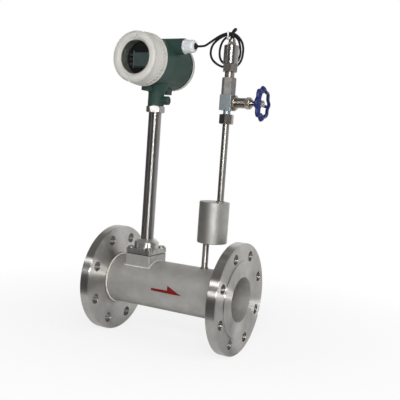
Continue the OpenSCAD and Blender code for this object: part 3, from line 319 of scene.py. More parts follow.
@dataclass(frozen=True)
class WeldSteel(Finish):
    """Weld metal: bright ripples with straw-coloured heat tint beside them.

    Attributes:
        tint: sRGB hex of the heat tint.
        tint_share: Strength of the tint where it is full.
        patch_mm: Size of the tinted patches.
        patch_edge: Part of the patches' range that is cut off at each side.
    """

    metallic: float = 1.0
    tint: str = "a08a66"
    tint_share: float = 0.25
    patch_mm: float = 6.0
    patch_edge: float = 0.4

    def inputs(self, tree: NodeTree) -> dict[str, Any]:
        """Adds patches of heat tint.

        Args:
            tree: The material's tree.

        Returns:
            The shader's inputs by name.
        """
        found = super().inputs(tree)
        links = {"Value": self.spots(tree, self.patch_mm), "To Max": self.tint_share}
        links |= {"From Min": self.patch_edge, "From Max": 1 - self.patch_edge}
        patch = add_node(tree, "ShaderNodeMapRange", links)
        links = {0: patch, 6: found["Base Color"], 7: linear(self.tint)}
        return found | {"Base Color": add_node(tree, "ShaderNodeMix", links, data_type="RGBA").outputs[2]}


@dataclass(frozen=True)
class CastPaint(Finish):
    """Sprayed enamel on a casting: a low orange-peel skin.

    Attributes:
        coat: Strength of the gloss coat.
        coat_roughness: Roughness of the gloss coat.
    """

    relief: Relief | None = ORANGE_PEEL
    coat: float = 0.0
    coat_roughness: float = 0.2

    def inputs(self, tree: NodeTree) -> dict[str, Any]:
        """Adds the gloss coat to the enamel's inputs."""
        return super().inputs(tree) | {"Coat Weight": self.coat, "Coat Roughness": self.coat_roughness}


@dataclass(frozen=True)
class MouldedPlastic(Finish):
    """Injection-moulded plastic: an even skin with a fine spark-eroded texture."""

    relief: Relief | None = Relief(0.9, 0.04, 0.3, detail=1.0)


@dataclass(frozen=True)
class CuredRubber(Finish):
    """Cured rubber or soft cable sheath: dark and dull, with a soft skin and a slightly dusty sheen."""

    relief: Relief | None = Relief(1.2, 0.05, 0.3)
    sheen: float = 0.15

    def inputs(self, tree: NodeTree) -> dict[str, Any]:
        """Adds the dusty sheen to the rubber's inputs."""
        return super().inputs(tree) | {"Sheen Weight": self.sheen}


@dataclass(frozen=True)
class ToughenedGlass(Finish):
    """Toughened window glass: clear, with a faint green tint and smears."""

    ior: float = 1.5

    def inputs(self, tree: NodeTree) -> dict[str, Any]:
        """Makes the surface clear."""
        return super().inputs(tree) | {"Transmission Weight": 1.0, "IOR": self.ior}


@dataclass(frozen=True)
class StencilPaint(Finish):
    """Brushed stencil paint: uneven cover with brush streaks along the tube."""

    relief: Relief | None = Relief(1.0, 0.08, 0.4, stretch=(0.15, 1.0, 1.0))


POLISHED = TurnedSteel(
    "polished_stainless", "adacaa", "a09e9b", 0.34, cloud_mm=40, rough_span=0.02, axis=Axis.Z,
    centre_mm=(75.0, 0.0, 0.0), stretch=1.0, rings=0.0,
)

FINISHES: dict[str, Finish] = {
    "tube": BlastedSteel("blasted_stainless", "bdbcb8", "adaba6", 0.58, 0.68, cloud_mm=26, rough_span=0.04),
    "flange": TurnedSteel(
        "turned_stainless", "d2d0cd", "c3c0bb", 0.45, cloud_mm=22, rough_span=0.04, stretch=1.0
    ),
    "rim": TurnedSteel(
        "fine_turned_stainless", "c8c6c2", "b9b6b0", 0.3, cloud_mm=22, rough_span=0.03, stretch=1.0, rings=0.0
    ),
    "collar": TurnedSteel(
        "collar_stainless", "d6d4d0", "c8c5c0", 0.4, cloud_mm=10, axis=Axis.Z, centre_mm=(75.0, 0.0, 0.0),
        rings=0.0,
    ),
    "weld": WeldSteel("weld_stainless", "f3f2ef", "dedcd7", 0.45, 0.6, tint="b5a684"),
    "root": WeldSteel("dull_weld_stainless", "a5a29c", "8f8b84", 0.5),
    "stem": replace(POLISHED, colour="a2a19f", second="959390"),
    "case": replace(POLISHED, name="polished_case_stainless", centre_mm=(223.0, 0.0, 0.0)),
    "tap": replace(
        POLISHED, name="satin_tap_stainless", colour="dcdbd9", second="cfcdca", roughness=0.42,
        centre_mm=(201.0, 0.0, 0.0),
    ),
    "spindle": DrawnSteel(
        "ground_stainless", "b8b7b5", "aaa8a5", 0.2, cloud_mm=20, rough_span=0.02,
        relief=replace(HAIR_LINES, strength=0.03),
    ),
    "machined": DrawnSteel("machined_stainless", "bdbbb8", "adaaa6", 0.44, cloud_mm=10),
    "pot": BlastedSteel("satin_stainless", "c2c1bd", "b1afaa", 0.52, cloud_mm=20),
    "hexagon": BlastedSteel("dull_hexagon_stainless", "a9a8a5", "9b9995", 0.75, cloud_mm=12),
    "pipe": DrawnSteel("pipe_stainless", "a09e99", "918f8a", 0.36, cloud_mm=30),
    "nut": DrawnSteel(
        "nut_stainless", "a19d98", "8a8580", 0.32, cloud_mm=6, rough_span=0.03,
        relief=replace(HAIR_LINES, strength=0.06),
    ),
    "union": DrawnSteel(
        "union_stainless", "a09c97", "8a8580", 0.22, cloud_mm=6, rough_span=0.03,
        relief=replace(HAIR_LINES, strength=0.04),
    ),
    "bonnet": TurnedSteel(
        "bonnet_steel", "b9b0a6", "9c9389", 0.3, cloud_mm=5, rough_span=0.03, centre_mm=(0.0, 0.0, 342.5),
        stretch=1.0, rings=0.0,
    ),
    "block": BlastedSteel("block_steel", "b4bdc2", "9fabb1", 0.5, 0.9, cloud_mm=8),
    "bolt": DrawnSteel("bolt_stainless", "c2c1be", "aeaca8", 0.36, cloud_mm=5),
    "green": CastPaint("green_enamel", "2c443d", "273c36", 0.58, cloud_mm=18, gloss=0.25),
    "cream": CastPaint(
        "cream_enamel", "c0beb9", "b5b3ad", 0.6, cloud_mm=16, gloss=0.3,
        relief=replace(ORANGE_PEEL, strength=0.2),
    ),
    "blue": CastPaint("blue_enamel", "152260", "101a4c", 0.5, cloud_mm=9, gloss=0.35, coat=0.08),
    "red": StencilPaint("red_stencil_paint", "7a080d", "62050a", 0.6, cloud_mm=5, gloss=0.25),
    "glass": ToughenedGlass("toughened_glass", "eef3f0", "e8efec", 0.02, cloud_mm=30, rough_span=0.015),
    "lcd": MouldedPlastic("lcd_glass", "7b9196", "6f8488", 0.3, cloud_mm=20, rough_span=0.03),
    "lining": CastPaint("olive_lining", "aaaaa0", "9c9c92", 0.5, cloud_mm=12, gloss=0.3),
    "black": MouldedPlastic("black_moulding", "16191a", "101213", 0.6, cloud_mm=12, gloss=0.25),
    "nylon": MouldedPlastic("white_nylon", "cfd1d2", "c3c6c8", 0.5, cloud_mm=8, gloss=0.4),
    "rubber": CuredRubber("black_rubber", "101011", "171718", 0.65, cloud_mm=8, sheen=0.04, gloss=0.25),
    "brass": DrawnSteel("turned_brass", "b7935a", "a4814b", 0.36, cloud_mm=5),
    "board": MouldedPlastic("circuit_board", "15402a", "113522", 0.4, cloud_mm=6),
    "bare": BlastedSteel("bare_aluminium", "b4b6b8", "a3a5a7", 0.42, cloud_mm=8),
}


# Shapes


def put(name: str, data: Any) -> Object:
    """Puts a mesh, curve, lamp or camera in the scene as a new object at the origin.

    Args:
        name: Name of the object.
        data: What the object shows.

    Returns:
        The new object.
    """
    item = bpy.data.objects.new(name, data)
    bpy.context.scene.collection.objects.link(item)
    return item


def to_mesh(name: str, shape: bmesh.types.BMesh) -> Mesh:
    """Turns a finished bmesh into a named mesh.

    Args:
        name: Name of the mesh.
        shape: The bmesh, which is freed.

    Returns:
        The new mesh.
    """
    mesh = bpy.data.meshes.new(name)
    shape.to_mesh(mesh)
    shape.free()
    return mesh


def seat(place_mm: Sequence[float], turn_deg: float = 0.0, axis: str = "X") -> Matrix:
    """Matrix that turns a shape about an axis and then moves it to its place."""
    return Matrix.Translation(Vector(place_mm) * MM) @ Matrix.Rotation(math.radians(turn_deg), 4, axis)


def shade(mesh: Mesh, angle_deg: float = 30.0) -> None:
    """Smooths a mesh except across edges sharper than an angle."""
    mesh.polygons.foreach_set("use_smooth", [True] * len(mesh.polygons))
    mesh.set_sharp_from_angle(angle=math.radians(angle_deg))


def bevel(item: Object, width_mm: float) -> Modifier:
    """Breaks the edges of a piece.

    Args:
        item: The piece.
        width_mm: Width of the broken edges.

    Returns:
        The live modifier.
    """
    edge = item.modifiers.new("edge", "BEVEL")
    edge.width = width_mm * MM
    edge.segments = 2
    return edge


def reach(mesh: Mesh, face: MeshPolygon, axis: Axis, centre_mm: Point = (0.0, 0.0, 0.0)) -> float:
    """Largest distance of a face's corners from an axis.

    Args:
        mesh: Mesh that the face belongs to.
        face: The face.
        axis: Direction of the axis.
        centre_mm: A point on the axis.

    Returns:
        The distance in millimetres.
    """
    line = Vector(axis.line())
    arms = (mesh.vertices[k].co / MM - Vector(centre_mm) for k in face.vertices)
    return max(arm.cross(line).length for arm in arms)


def lathe(name: str, section: Sequence[tuple[float, float]], steps: int = 48) -> Mesh:
    """Turns a closed section about Z.

    Args:
        name: Name of the mesh.
        section: Radius and height of each corner, in millimetres.
        steps: Corners of a full turn.

    Returns:
        The turned mesh.
    """
    turned = bmesh.new()
    rings = [
        [turned.verts.new((r * MM * math.cos(a), r * MM * math.sin(a), z * MM)) for r, z in section]
        for a in (2 * math.pi * k / steps for k in range(steps))
    ]
    count = len(section)
    for k in range(steps):
        here, there = rings[k], rings[(k + 1) % steps]
        for j in range(count):
            nxt = (j + 1) % count
            turned.faces.new((here[j], there[j], there[nxt], here[nxt]))
    bmesh.ops.recalc_face_normals(turned, faces=turned.faces[:])
    return to_mesh(name, turned)


class NodeShape:
    """A shape that a geometry tree makes, turned into a plain mesh."""

    def __init__(self, name: str) -> None:
        """Starts an empty tree.

        Args:
            name: Name of the piece and of its tree.
        """
        self.name = name
        self.tree = bpy.data.node_groups.new(name, "GeometryNodeTree")
        self.entry = self.tree.nodes.new("NodeGroupInput")
        self.values: dict[str, Any] = {}

    def size(self, name: str, value: float | int, whole: bool = False) -> NodeSocket:
        """Adds a named size.

        Args:
            name: What the size is.
            value: Its value, in metres or radians, or a count.
            whole: True for a count.

        Returns:
            The socket that carries the size.
        """
        kind = "NodeSocketInt" if whole else "NodeSocketFloat"
        socket = self.tree.interface.new_socket(name=name, in_out="INPUT", socket_type=kind)
        self.values[socket.identifier] = value
        return self.entry.outputs[name]

    def add(self, kind: str, links: dict[Any, Any] | None = None, **settings: Any) -> Node:
        """Adds a node to the tree."""
        return add_node(self.tree, kind, links, **settings)

    def circle_of(self, piece: Node, count: NodeSocket, radius: NodeSocket, scale: Point = EVEN) -> Node:
        """Sets copies of a piece in a circle about Z, each turned to face outwards.

        Args:
            piece: Node that makes the piece.
            count: Number of copies.
            radius: Radius of the circle.
            scale: Stretch of each copy.

        Returns:
            The copies' node.
        """
        ring = self.add("GeometryNodeMeshCircle", {"Vertices": count, "Radius": radius})
        index = self.add("GeometryNodeInputIndex")
        share = self.add("ShaderNodeMath", {0: index, 1: count}, operation="DIVIDE")
        turn = self.add("ShaderNodeMath", {0: share, 1: 2 * math.pi}, operation="MULTIPLY")
        facing = self.add("ShaderNodeCombineXYZ", {"Z": turn})
        links = {"Points": ring, "Instance": piece, "Rotation": facing, "Scale": scale}
        return self.add("GeometryNodeInstanceOnPoints", links)

    def bake(self, shape: Node, material: Material, place: Matrix, angle_deg: float = 40.0) -> Object:
        """Runs the tree and keeps its result as a plain mesh in its place.

        Args:
            shape: Node that makes the finished shape.
            material: Finish of the piece.
            place: Turn and place of the piece.
            angle_deg: Edges sharper than this stay sharp.

        Returns:
            The new object, without modifiers.
        """
        self.tree.interface.new_socket(name="Shape", in_out="OUTPUT", socket_type="NodeSocketGeometry")
        real = self.add("GeometryNodeRealizeInstances", {"Geometry": shape})
        painted = self.add("GeometryNodeSetMaterial", {"Geometry": real, "Material": material})
        self.add("NodeGroupOutput", {0: painted})
        item = put(self.name, bpy.data.meshes.new(self.name))
        modifier = item.modifiers.new("shape", "NODES")
        modifier.node_group = self.tree
        for key, value in self.values.items():
            modifier[key] = value
        graph = bpy.context.evaluated_depsgraph_get()
        mesh = bpy.data.meshes.new_from_object(item.evaluated_get(graph), depsgraph=graph)
        item.modifiers.clear()
        mesh.transform(place)
        item.data = mesh
        shade(mesh, angle_deg)
        return item


@dataclass
class Workshop:
    """The frame and the finishes, with the ways to dress nodes and place pieces.

    Attributes:
        frame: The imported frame.
        merge_m: Corners closer than this are one.
        flat_deg: Faces that differ by less than this are one.
        sharp_deg: Edges sharper than this are broken.
        finishes: Material of each finish.
        slots: Material slot of each node.
    """

    frame: dict[str, Any]
    merge_m: float = 2e-6
    flat_deg: float = 0.3
    sharp_deg: float = 32.0
    finishes: dict[str, Material] = field(init=False)
    slots: dict[str, str] = field(init=False)

    def __post_init__(self) -> None:
        """Makes every finish once and reads each node's slot."""
        self.finishes = {key: finish.make() for key, finish in FINISHES.items()}
        self.slots = {row["node"]: row["material_slot"] for row in self.frame["record"]["subparts"]}

    def paint(self, finish: str, *nodes: str) -> None:
        """Gives frame nodes a finish as they are.

        Args:
            finish: Key of the finish.
            nodes: Names of the nodes.
        """
        for name in nodes:
            mesh = self.frame["nodes"][name].data
            mesh.materials.clear()
            mesh.materials.append(self.finishes[finish])
            LOG.info("painted %s", name)

    def soften(self, finish: str, node: str, width_mm: float, body: Body = Body.METER) -> Object:
        """Stands a copy with broken edges in for a frame node.

        Args:
            finish: Key of the finish.
            node: Name of the node.
            width_mm: Width of the broken edges.
            body: Body that the node belongs to.

        Returns:
            The new piece.
        """
        shape = bmesh.new()
        shape.from_mesh(self.frame["nodes"][node].data)
        bmesh.ops.remove_doubles(shape, verts=shape.verts, dist=self.merge_m)
        flat = math.radians(self.flat_deg)
        bmesh.ops.dissolve_limit(shape, angle_limit=flat, verts=shape.verts, edges=shape.edges)
        mesh = to_mesh(node + "_soft", shape)
        mesh.materials.append(self.finishes[finish])
        shade(mesh, self.sharp_deg)
        item = put(node + "_soft", mesh)
        edge = bevel(item, width_mm)
        edge.limit_method = "ANGLE"
        edge.angle_limit = math.radians(self.sharp_deg)
        edge.harden_normals = True
        return self.stand_in(item, body, node)

    def recoat(self, mesh: Mesh, finish: str, chosen: Callable[[MeshPolygon], bool]) -> None:
        """Gives some faces of a piece a finish of their own.

        Args:
            mesh: Mesh of the piece.
            finish: Key of the finish.
            chosen: Test that a face has to pass.
        """
        mesh.materials.append(self.finishes[finish])
        for face in mesh.polygons:
            if chosen(face):
                face.material_index = len(mesh.materials) - 1

    def stand_in(self, item: Object, body: Body, *nodes: str, slot: str = "") -> Object:
        """Lets a piece ride on a body, in place of frame nodes where it stands for any.

        Args:
            item: The piece.
            body: Body that it rides on.
            nodes: Nodes that it stands for.
            slot: Material slot of a piece that stands for none; not used.

        Returns:
            The piece.
        """
        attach(item, body.value)
        if nodes:
            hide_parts(*nodes)
        LOG.info("built %s", item.name)
        return item


# Sub-assemblies


@dataclass
class SubAssembly:
    """A group of pieces that is dressed and detailed together.

    Attributes:
        shop: Finishes and frame.
    """

    shop: Workshop

    def build(self) -> None:
        """Dresses the nodes and adds the fine detail."""
        raise NotImplementedError


@dataclass
class WeldedPart(SubAssembly):
    """A sub-assembly with weld ripples round a joint.

    Attributes:
        tube_r_mm: Radius of the tube that is welded to.
        weld_deg: Edges of the ripples sharper than this stay sharp.
    """

    tube_r_mm: float = 44.5
    weld_deg: float = 60.0

    def lay(self, shape: NodeShape, ripples: Node, place: Matrix) -> None:
        """Keeps a tree's ripples as one weld on the meter."""
        item = shape.bake(ripples, self.shop.finishes["weld"], place, self.weld_deg)
        self.shop.stand_in(item, Body.METER, slot="bright_steel")


@dataclass
class PipeRun(WeldedPart):
    """Measuring tube between two flanges, with its welds and the flow arrow.

    Attributes:
        bore_r_mm: Faces within this radius belong to a flange's bore.
        face_share: Faces that point along the run by more than this are a flange's faces.
        bead_mm: Size of a weld ripple.
        bead_seat: Share of that size by which a ripple's middle stands off the corner.
        bead_shape: Stretch of a ripple.
        paint_mm: Thickness of the arrow's paint.
        arrow_mm: Corners of the arrow, along the run and round the tube.
    """

    length_mm: float = 276.0
    flange_mm: float = 18.0
    flange_edge_mm: float = 0.5
    bore_r_mm: float = 46.0
    face_share: float = 0.9
    bead_mm: float = 2.5
    bead_pitch_mm: float = 2.6
    bead_seat: float = 0.55
    bead_shape: Point = (1.0, 0.8, 1.15)
    paint_mm: float = 0.06
    arrow_mm: Section = (
        (118.2, -1.6), (119.0, -2.2), (140.0, -2.6), (168.0, -2.7), (182.4, -2.5), (170.5, 2.6), (160.5, 7.2),
        (152.2, 11.0), (151.4, 10.6), (151.6, 2.7), (135.0, 2.5), (119.0, 2.2), (118.0, 1.4),
    )

    def build(self) -> None:
        """Dresses the tube and flanges and adds the welds and the arrow."""
        for node in ("inlet_flange", "outlet_flange"):
            self.flange(node)
        self.shop.paint("tube", "measuring_tube")
        self.shop.paint("machined", "bluff_body", "sensor_probe")
        self.shop.paint("root", "weld_beads")
        self.weld_ring("inlet_weld", self.flange_mm, 1.0)
        self.weld_ring("outlet_weld", self.length_mm - self.flange_mm, -1.0)
        self.arrow()

    def flange(self, node: str) -> None:
        """Dresses a flange with a fine rim, coarser turned faces and a dull bore.

        Args:
            node: Name of the flange's node.
        """
        mesh = self.shop.soften("rim", node, self.flange_edge_mm).data
        self.shop.recoat(mesh, "flange", lambda face: abs(face.normal.x) > self.face_share)
        self.shop.recoat(mesh, "tube", lambda face: reach(mesh, face, Axis.X) < self.bore_r_mm)

    def weld_ring(self, name: str, x_mm: float, side: float) -> None:
        """Lays a ring of overlapping weld ripples in the corner of tube and flange.

        Args:
            name: Name of the piece.
            x_mm: Flange back that the ring lies on.
            side: Direction from the flange to the tube's middle.
        """
        stand_off = self.bead_mm * self.bead_seat
        ring_r = self.tube_r_mm + stand_off
        shape = NodeShape(name)
        count = shape.size("Ripples", round(2 * math.pi * ring_r / self.bead_pitch_mm), whole=True)
        radius = shape.size("Ring radius", ring_r * MM)
        drop = shape.size("Ripple size", self.bead_mm * MM)
        ball = shape.add("GeometryNodeMeshIcoSphere", {"Radius": drop, "Subdivisions": 2})
        ripples = shape.circle_of(ball, count, radius, self.bead_shape)
        self.lay(shape, ripples, seat((x_mm + side * stand_off, 0.0, 0.0), 90.0, "Y"))

    def arrow(self) -> None:
        """Paints the half-barbed flow arrow on the tube's front, cut so that it follows the curve."""
        flat = bmesh.new()
        flat.faces.new([flat.verts.new((x * MM, 0.0, rise * MM)) for x, rise in reversed(self.arrow_mm)])
        rises = [rise for _, rise in self.arrow_mm]
        for cut in range(math.floor(min(rises)) + 1, math.ceil(max(rises))):
            parts = flat.verts[:] + flat.edges[:] + flat.faces[:]
            bmesh.ops.bisect_plane(flat, geom=parts, plane_co=(0, 0, cut * MM), plane_no=(0, 0, 1))
        skin = (self.tube_r_mm + self.paint_mm) * MM
        for vert in flat.verts:
            turn = vert.co.z / (self.tube_r_mm * MM)
            vert.co = Vector((vert.co.x, -skin * math.cos(turn), skin * math.sin(turn)))
        bmesh.ops.triangulate(flat, faces=flat.faces[:])
        bmesh.ops.recalc_face_normals(flat, faces=flat.faces[:])
        if flat.faces[:][0].normal.y > 0:
            bmesh.ops.reverse_faces(flat, faces=flat.faces[:])
        mesh = to_mesh("flow_arrow", flat)
        mesh.materials.append(self.shop.finishes["red"])
        shade(mesh, 60.0)
        self.shop.stand_in(put("flow_arrow", mesh), Body.METER)


@dataclass
class SensorStem(WeldedPart):
    """Saddle pad, bolted clamp plate and the tall stem under the head.

    Attributes:
        axis_mm: A point on the stem's axis.
        foot_mm: Length and width of the pad's foot.
        ripple_shape: Stretch of a weld ripple.
        collar_r_mm: Faces within this radius belong to the clamp plate's turned collar.
    """

    axis_mm: Point = (75.0, 0.0, 0.0)
    plate_edge_mm: float = 0.6
    bolt_edge_mm: float = 0.3
    nut_edge_mm: float = 0.4
    foot_mm: tuple[float, float] = (53.6, 59.6)
    ripple_mm: float = 1.4
    ripples: int = 124
    ripple_shape: Point = (1.0, 1.0, 0.8)
    collar_r_mm: float = 24.5

    def build(self) -> None:
        """Dresses the pad, the plate with its collar, its bolts and the stem and lays the pad's weld."""
        self.foot_weld()
        shop = self.shop
        shop.soften("tube", "sensor_pad", self.plate_edge_mm)
        plate = shop.soften("machined", "clamp_plate", self.plate_edge_mm).data
        shop.recoat(plate, "collar", lambda face: reach(plate, face, Axis.Z, self.axis_mm) < self.collar_r_mm)
        shop.soften("bolt", "plate_bolts", self.bolt_edge_mm)
        shop.paint("bolt", "plate_washers")
        shop.paint("rubber", "sensor_gasket")
        shop.paint("stem", "stem_tube")
        shop.soften("machined", "jam_nut", self.nut_edge_mm)

    def foot_weld(self) -> None:
        """Lays weld ripples along the pad's foot, which follows the tube's curve."""
        shape = NodeShape("pad_weld")
        count = shape.size("Ripples", self.ripples, whole=True)
        length = shape.size("Foot length", self.foot_mm[0] * MM)
        width = shape.size("Foot width", self.foot_mm[1] * MM)
        radius = shape.size("Tube radius", self.tube_r_mm * MM)
        drop = shape.size("Ripple size", self.ripple_mm * MM)
        foot = shape.add("GeometryNodeCurvePrimitiveQuadrilateral", {"Width": length, "Height": width})
        fine = shape.add("GeometryNodeResampleCurve", {"Curve": foot, "Count": count})
        place = shape.add("GeometryNodeInputPosition")
        across = shape.add("ShaderNodeSeparateXYZ", {0: place}).outputs["Y"]
        side = shape.add("ShaderNodeMath", {0: across, 1: across}, operation="MULTIPLY")
        whole = shape.add("ShaderNodeMath", {0: radius, 1: radius}, operation="MULTIPLY")
        left = shape.add("ShaderNodeMath", {0: whole, 1: side}, operation="SUBTRACT")
        rise = shape.add("ShaderNodeMath", {0: left}, operation="SQRT")
        upward = shape.add("ShaderNodeCombineXYZ", {"Z": rise})
        raised = shape.add("GeometryNodeSetPosition", {"Geometry": fine, "Offset": upward})
        ball = shape.add("GeometryNodeMeshIcoSphere", {"Radius": drop, "Subdivisions": 2})
        links = {"Points": raised, "Instance": ball, "Scale": self.ripple_shape}
        self.lay(shape, shape.add("GeometryNodeInstanceOnPoints", links), seat(self.axis_mm))


@dataclass
class ConverterHead(SubAssembly):
    """Two-chamber housing with screw covers, window and display.

    Attributes:
        axis_mm: The head's middle, on the covers' axis.
        thread_mm: Name, start and end of each cover's thread.
        lining_r_mm: Faces within this radius belong to the bore behind the window.
        lip_mm: Section of the front cover's lip: radius, and distance in front of the stem.
        shroud_mm: Section of the pale shroud behind the glass.
        bezel_mm: Section of the black bezel behind the shroud.
        rib_circle_mm: Radius and place of the circle of ribs.
        lcd_face_mm: Place of the display panel's face.
        lcd_half_mm: Half of the display panel's width and height.
        screen_bars_mm: Width of the screen frame's left, right, lower and upper bars.
        screen_mm: Rise of the screen frame over the panel, and its depth in it.
        first_key_mm: Place of the lowest key from the head's middle.
        key_mm: Radius and height of a key.
    """

    axis_mm: Point = (75.0, 0.0, 411.0)
    housing_edge_mm: float = 1.2
    cover_edge_mm: float = 0.7
    screw_edge_mm: float = 0.3
    thread_mm: tuple[tuple[str, float, float], ...] = (
        ("front_thread", -46.0, -61.0), ("rear_thread", 55.0, 60.4)
    )
    thread_r_mm: float = 39.9
    thread_pitch_mm: float = 2.0
    thread_ridge_mm: float = 0.3
    lining_r_mm: float = 30.0
    lip_mm: Section = ((44.6, 45.4), (47.1, 45.4), (47.6, 45.8), (47.6, 46.9), (47.1, 47.4), (44.6, 47.4))
    shroud_mm: Section = ((29.9, 54.6), (31.0, 54.6), (31.0, 67.2), (29.9, 67.2))
    bezel_mm: Section = ((29.8, 48.0), (30.9, 48.0), (30.9, 54.5), (29.8, 54.5))
    lip_steps: int = 192
    shroud_steps: int = 96
    ribs: int = 60
    rib_circle_mm: tuple[float, float] = (43.4, -78.2)
    rib_mm: Point = (2.4, 2.2, 4.6)
    rib_edge_mm: float = 0.25
    lcd_face_mm: float = -48.1
    lcd_half_mm: tuple[float, float] = (22.0, 15.0)
    screen_bars_mm: tuple[float, float, float, float] = (1.9, 1.0, 1.8, 3.4)
    screen_mm: tuple[float, float] = (0.5, 0.1)
    screen_edge_mm: float = 0.15
    key_count: int = 3
    key_pitch_mm: float = 8.0
    key_mm: tuple[float, float] = (2.2, 2.0)
    first_key_mm: Point = (-27.5, -46.6, -8.0)

    def build(self) -> None:
        """Dresses the housing and covers and adds threads, screen frame, keys, ribs and rings."""
        shop = self.shop
        shop.soften("green", "converter_housing", self.housing_edge_mm)
        lid = shop.soften("cream", "front_cover", self.cover_edge_mm, Body.FRONT_LID).data
        shop.recoat(lid, "lining", lambda face: reach(lid, face, Axis.Y, self.axis_mm) < self.lining_r_mm)
        shop.soften("cream", "rear_cover", self.cover_edge_mm, Body.REAR_LID)
        shop.paint("glass", "window_glass")
        shop.paint("black", "display_tray", "terminal_block")
        shop.paint("lining", "glass_retainer")
        shop.paint("lcd", "display_panel")
        shop.paint("board", "display_board")
        shop.paint("brass", "board_posts", "terminal_screws")
        shop.paint("bolt", "tray_screws", "neck_set_screw")
        shop.soften("bolt", "cover_lock_screws", self.screw_edge_mm)
        shop.paint("rubber", "front_cover_seal", "rear_cover_seal")
        for name, start, end in self.thread_mm:
            self.thread(name, start, end)
        self.screen_frame()
        self.keys()
        self.edge_ribs()
        self.ring("rim_lip", "cream", self.lip_mm, self.lip_steps, Body.FRONT_LID)
        self.ring("display_shroud", "lining", self.shroud_mm, self.shroud_steps, Body.METER)
        self.ring("display_bezel", "black", self.bezel_mm, self.shroud_steps, Body.METER)

    def at(self, x_mm: float, y_mm: float, z_mm: float) -> Vector:
        """A place in millimetres, given from the head's middle."""
        return Vector(self.axis_mm) + Vector((x_mm, y_mm, z_mm))

    def ring(self, name: str, finish: str, section: Section, steps: int, body: Body) -> None:
        """Turns a ring about the head's axis.

        Args:
            name: Name of the piece.
            finish: Key of the finish.
            section: Radius and distance in front of the stem of each corner.
            steps: Corners of a full turn.
            body: Body that the ring rides on.
        """
        mesh = lathe(name, section, steps)
        mesh.transform(seat(self.axis_mm, 90.0))
        mesh.materials.append(self.shop.finishes[finish])
        shade(mesh, 40.0)
        carrier = "front_cover" if body is Body.FRONT_LID else "display_tray"
        self.shop.stand_in(put(name, mesh), body, slot=self.shop.slots[carrier])

    def edge_ribs(self) -> None:
        """Sets the short grip ribs on the front cover's rounded edge."""
        shape = NodeShape("edge_ribs")
        count = shape.size("Ribs", self.ribs, whole=True)
        radius = shape.size("Rib circle radius", self.rib_circle_mm[0] * MM)
        rib = shape.add("GeometryNodeMeshCube", {"Size": tuple(v * MM for v in self.rib_mm)})
        place = seat(self.at(0.0, self.rib_circle_mm[1], 0.0), 90.0)
        item = shape.bake(shape.circle_of(rib, count, radius), self.shop.finishes["cream"], place)
        bevel(item, self.rib_edge_mm)
        self.shop.stand_in(item, Body.FRONT_LID, slot=self.shop.slots["front_cover"])

    def thread(self, name: str, start_mm: float, end_mm: float) -> None:
        """Winds the bare screw thread that a cover runs on.

        Args:
            name: Name of the piece.
            start_mm: Y where the thread starts.
            end_mm: Y where the thread ends.
        """
        length = abs(end_mm - start_mm)
        shape = NodeShape(name)
        turns = shape.size("Turns", length / self.thread_pitch_mm)
        radius = shape.size("Thread radius", self.thread_r_mm * MM)
        rise = shape.size("Thread length", length * MM)
        ridge = shape.size("Ridge size", self.thread_ridge_mm * MM)
        links = {"Resolution": 64, "Rotations": turns, "Start Radius": radius, "End Radius": radius}
        coil = shape.add("GeometryNodeCurveSpiral", links | {"Height": rise})
        section = shape.add("GeometryNodeCurvePrimitiveCircle", {"Resolution": 4, "Radius": ridge})
        links = {"Curve": coil, "Profile Curve": section, "Fill Caps": True}
        wound = shape.add("GeometryNodeCurveToMesh", links)
        place = seat(self.at(0.0, start_mm, 0.0), -90.0 if end_mm > start_mm else 90.0)
        self.shop.stand_in(shape.bake(wound, self.shop.finishes["bare"], place), Body.METER)

    def screen_frame(self) -> None:
        """Adds the frame round the display panel: a bright left bar and three black ones."""
        half_w, half_h = self.lcd_half_mm
        left, right, foot, head = self.screen_bars_mm
        proud, sunk = self.screen_mm
        sides = (
            (-half_w, left - half_w, -half_h, half_h),
            (half_w - right, half_w, -half_h, half_h),
            (left - half_w, half_w - right, -half_h, foot - half_h),
            (left - half_w, half_w - right, half_h - head, half_h),
        )
        frame = bmesh.new()
        for x0, x1, z0, z1 in sides:
            low = self.at(x0, self.lcd_face_mm - proud, z0) * MM
            high = self.at(x1, self.lcd_face_mm + sunk, z1) * MM
            block = Matrix.Translation((low + high) / 2) @ Matrix.Diagonal((*(high - low), 1.0))
            bmesh.ops.create_cube(frame, size=1.0, matrix=block)
        mesh = to_mesh("screen_frame", frame)
        mesh.materials.append(self.shop.finishes["nylon"])
        bright = (self.axis_mm[0] - half_w + left) * MM
        self.shop.recoat(mesh, "black", lambda face: face.center.x > bright)
        item = put("screen_frame", mesh)
        bevel(item, self.screen_edge_mm)
        self.shop.stand_in(item, Body.METER)

    def keys(self) -> None:
        """Adds the push keys beside the display panel."""
        shape = NodeShape("display_keys")
        count = shape.size("Keys", self.key_count, whole=True)
        pitch = shape.size("Key pitch", self.key_pitch_mm * MM)
        radius = shape.size("Key radius", self.key_mm[0] * MM)
        step = shape.add("ShaderNodeCombineXYZ", {"Z": pitch})
        row = shape.add("GeometryNodeMeshLine", {"Count": count, "Offset": step})
        links = {"Vertices": 24, "Radius": radius, "Depth": self.key_mm[1] * MM}
        key = shape.add("GeometryNodeMeshCylinder", links)
        links = {"Points": row, "Instance": key, "Rotation": (math.pi / 2, 0.0, 0.0)}
        laid = shape.add("GeometryNodeInstanceOnPoints", links)
        place = seat(self.at(*self.first_key_mm))
        self.shop.stand_in(shape.bake(laid, self.shop.finishes["bare"], place), Body.METER)


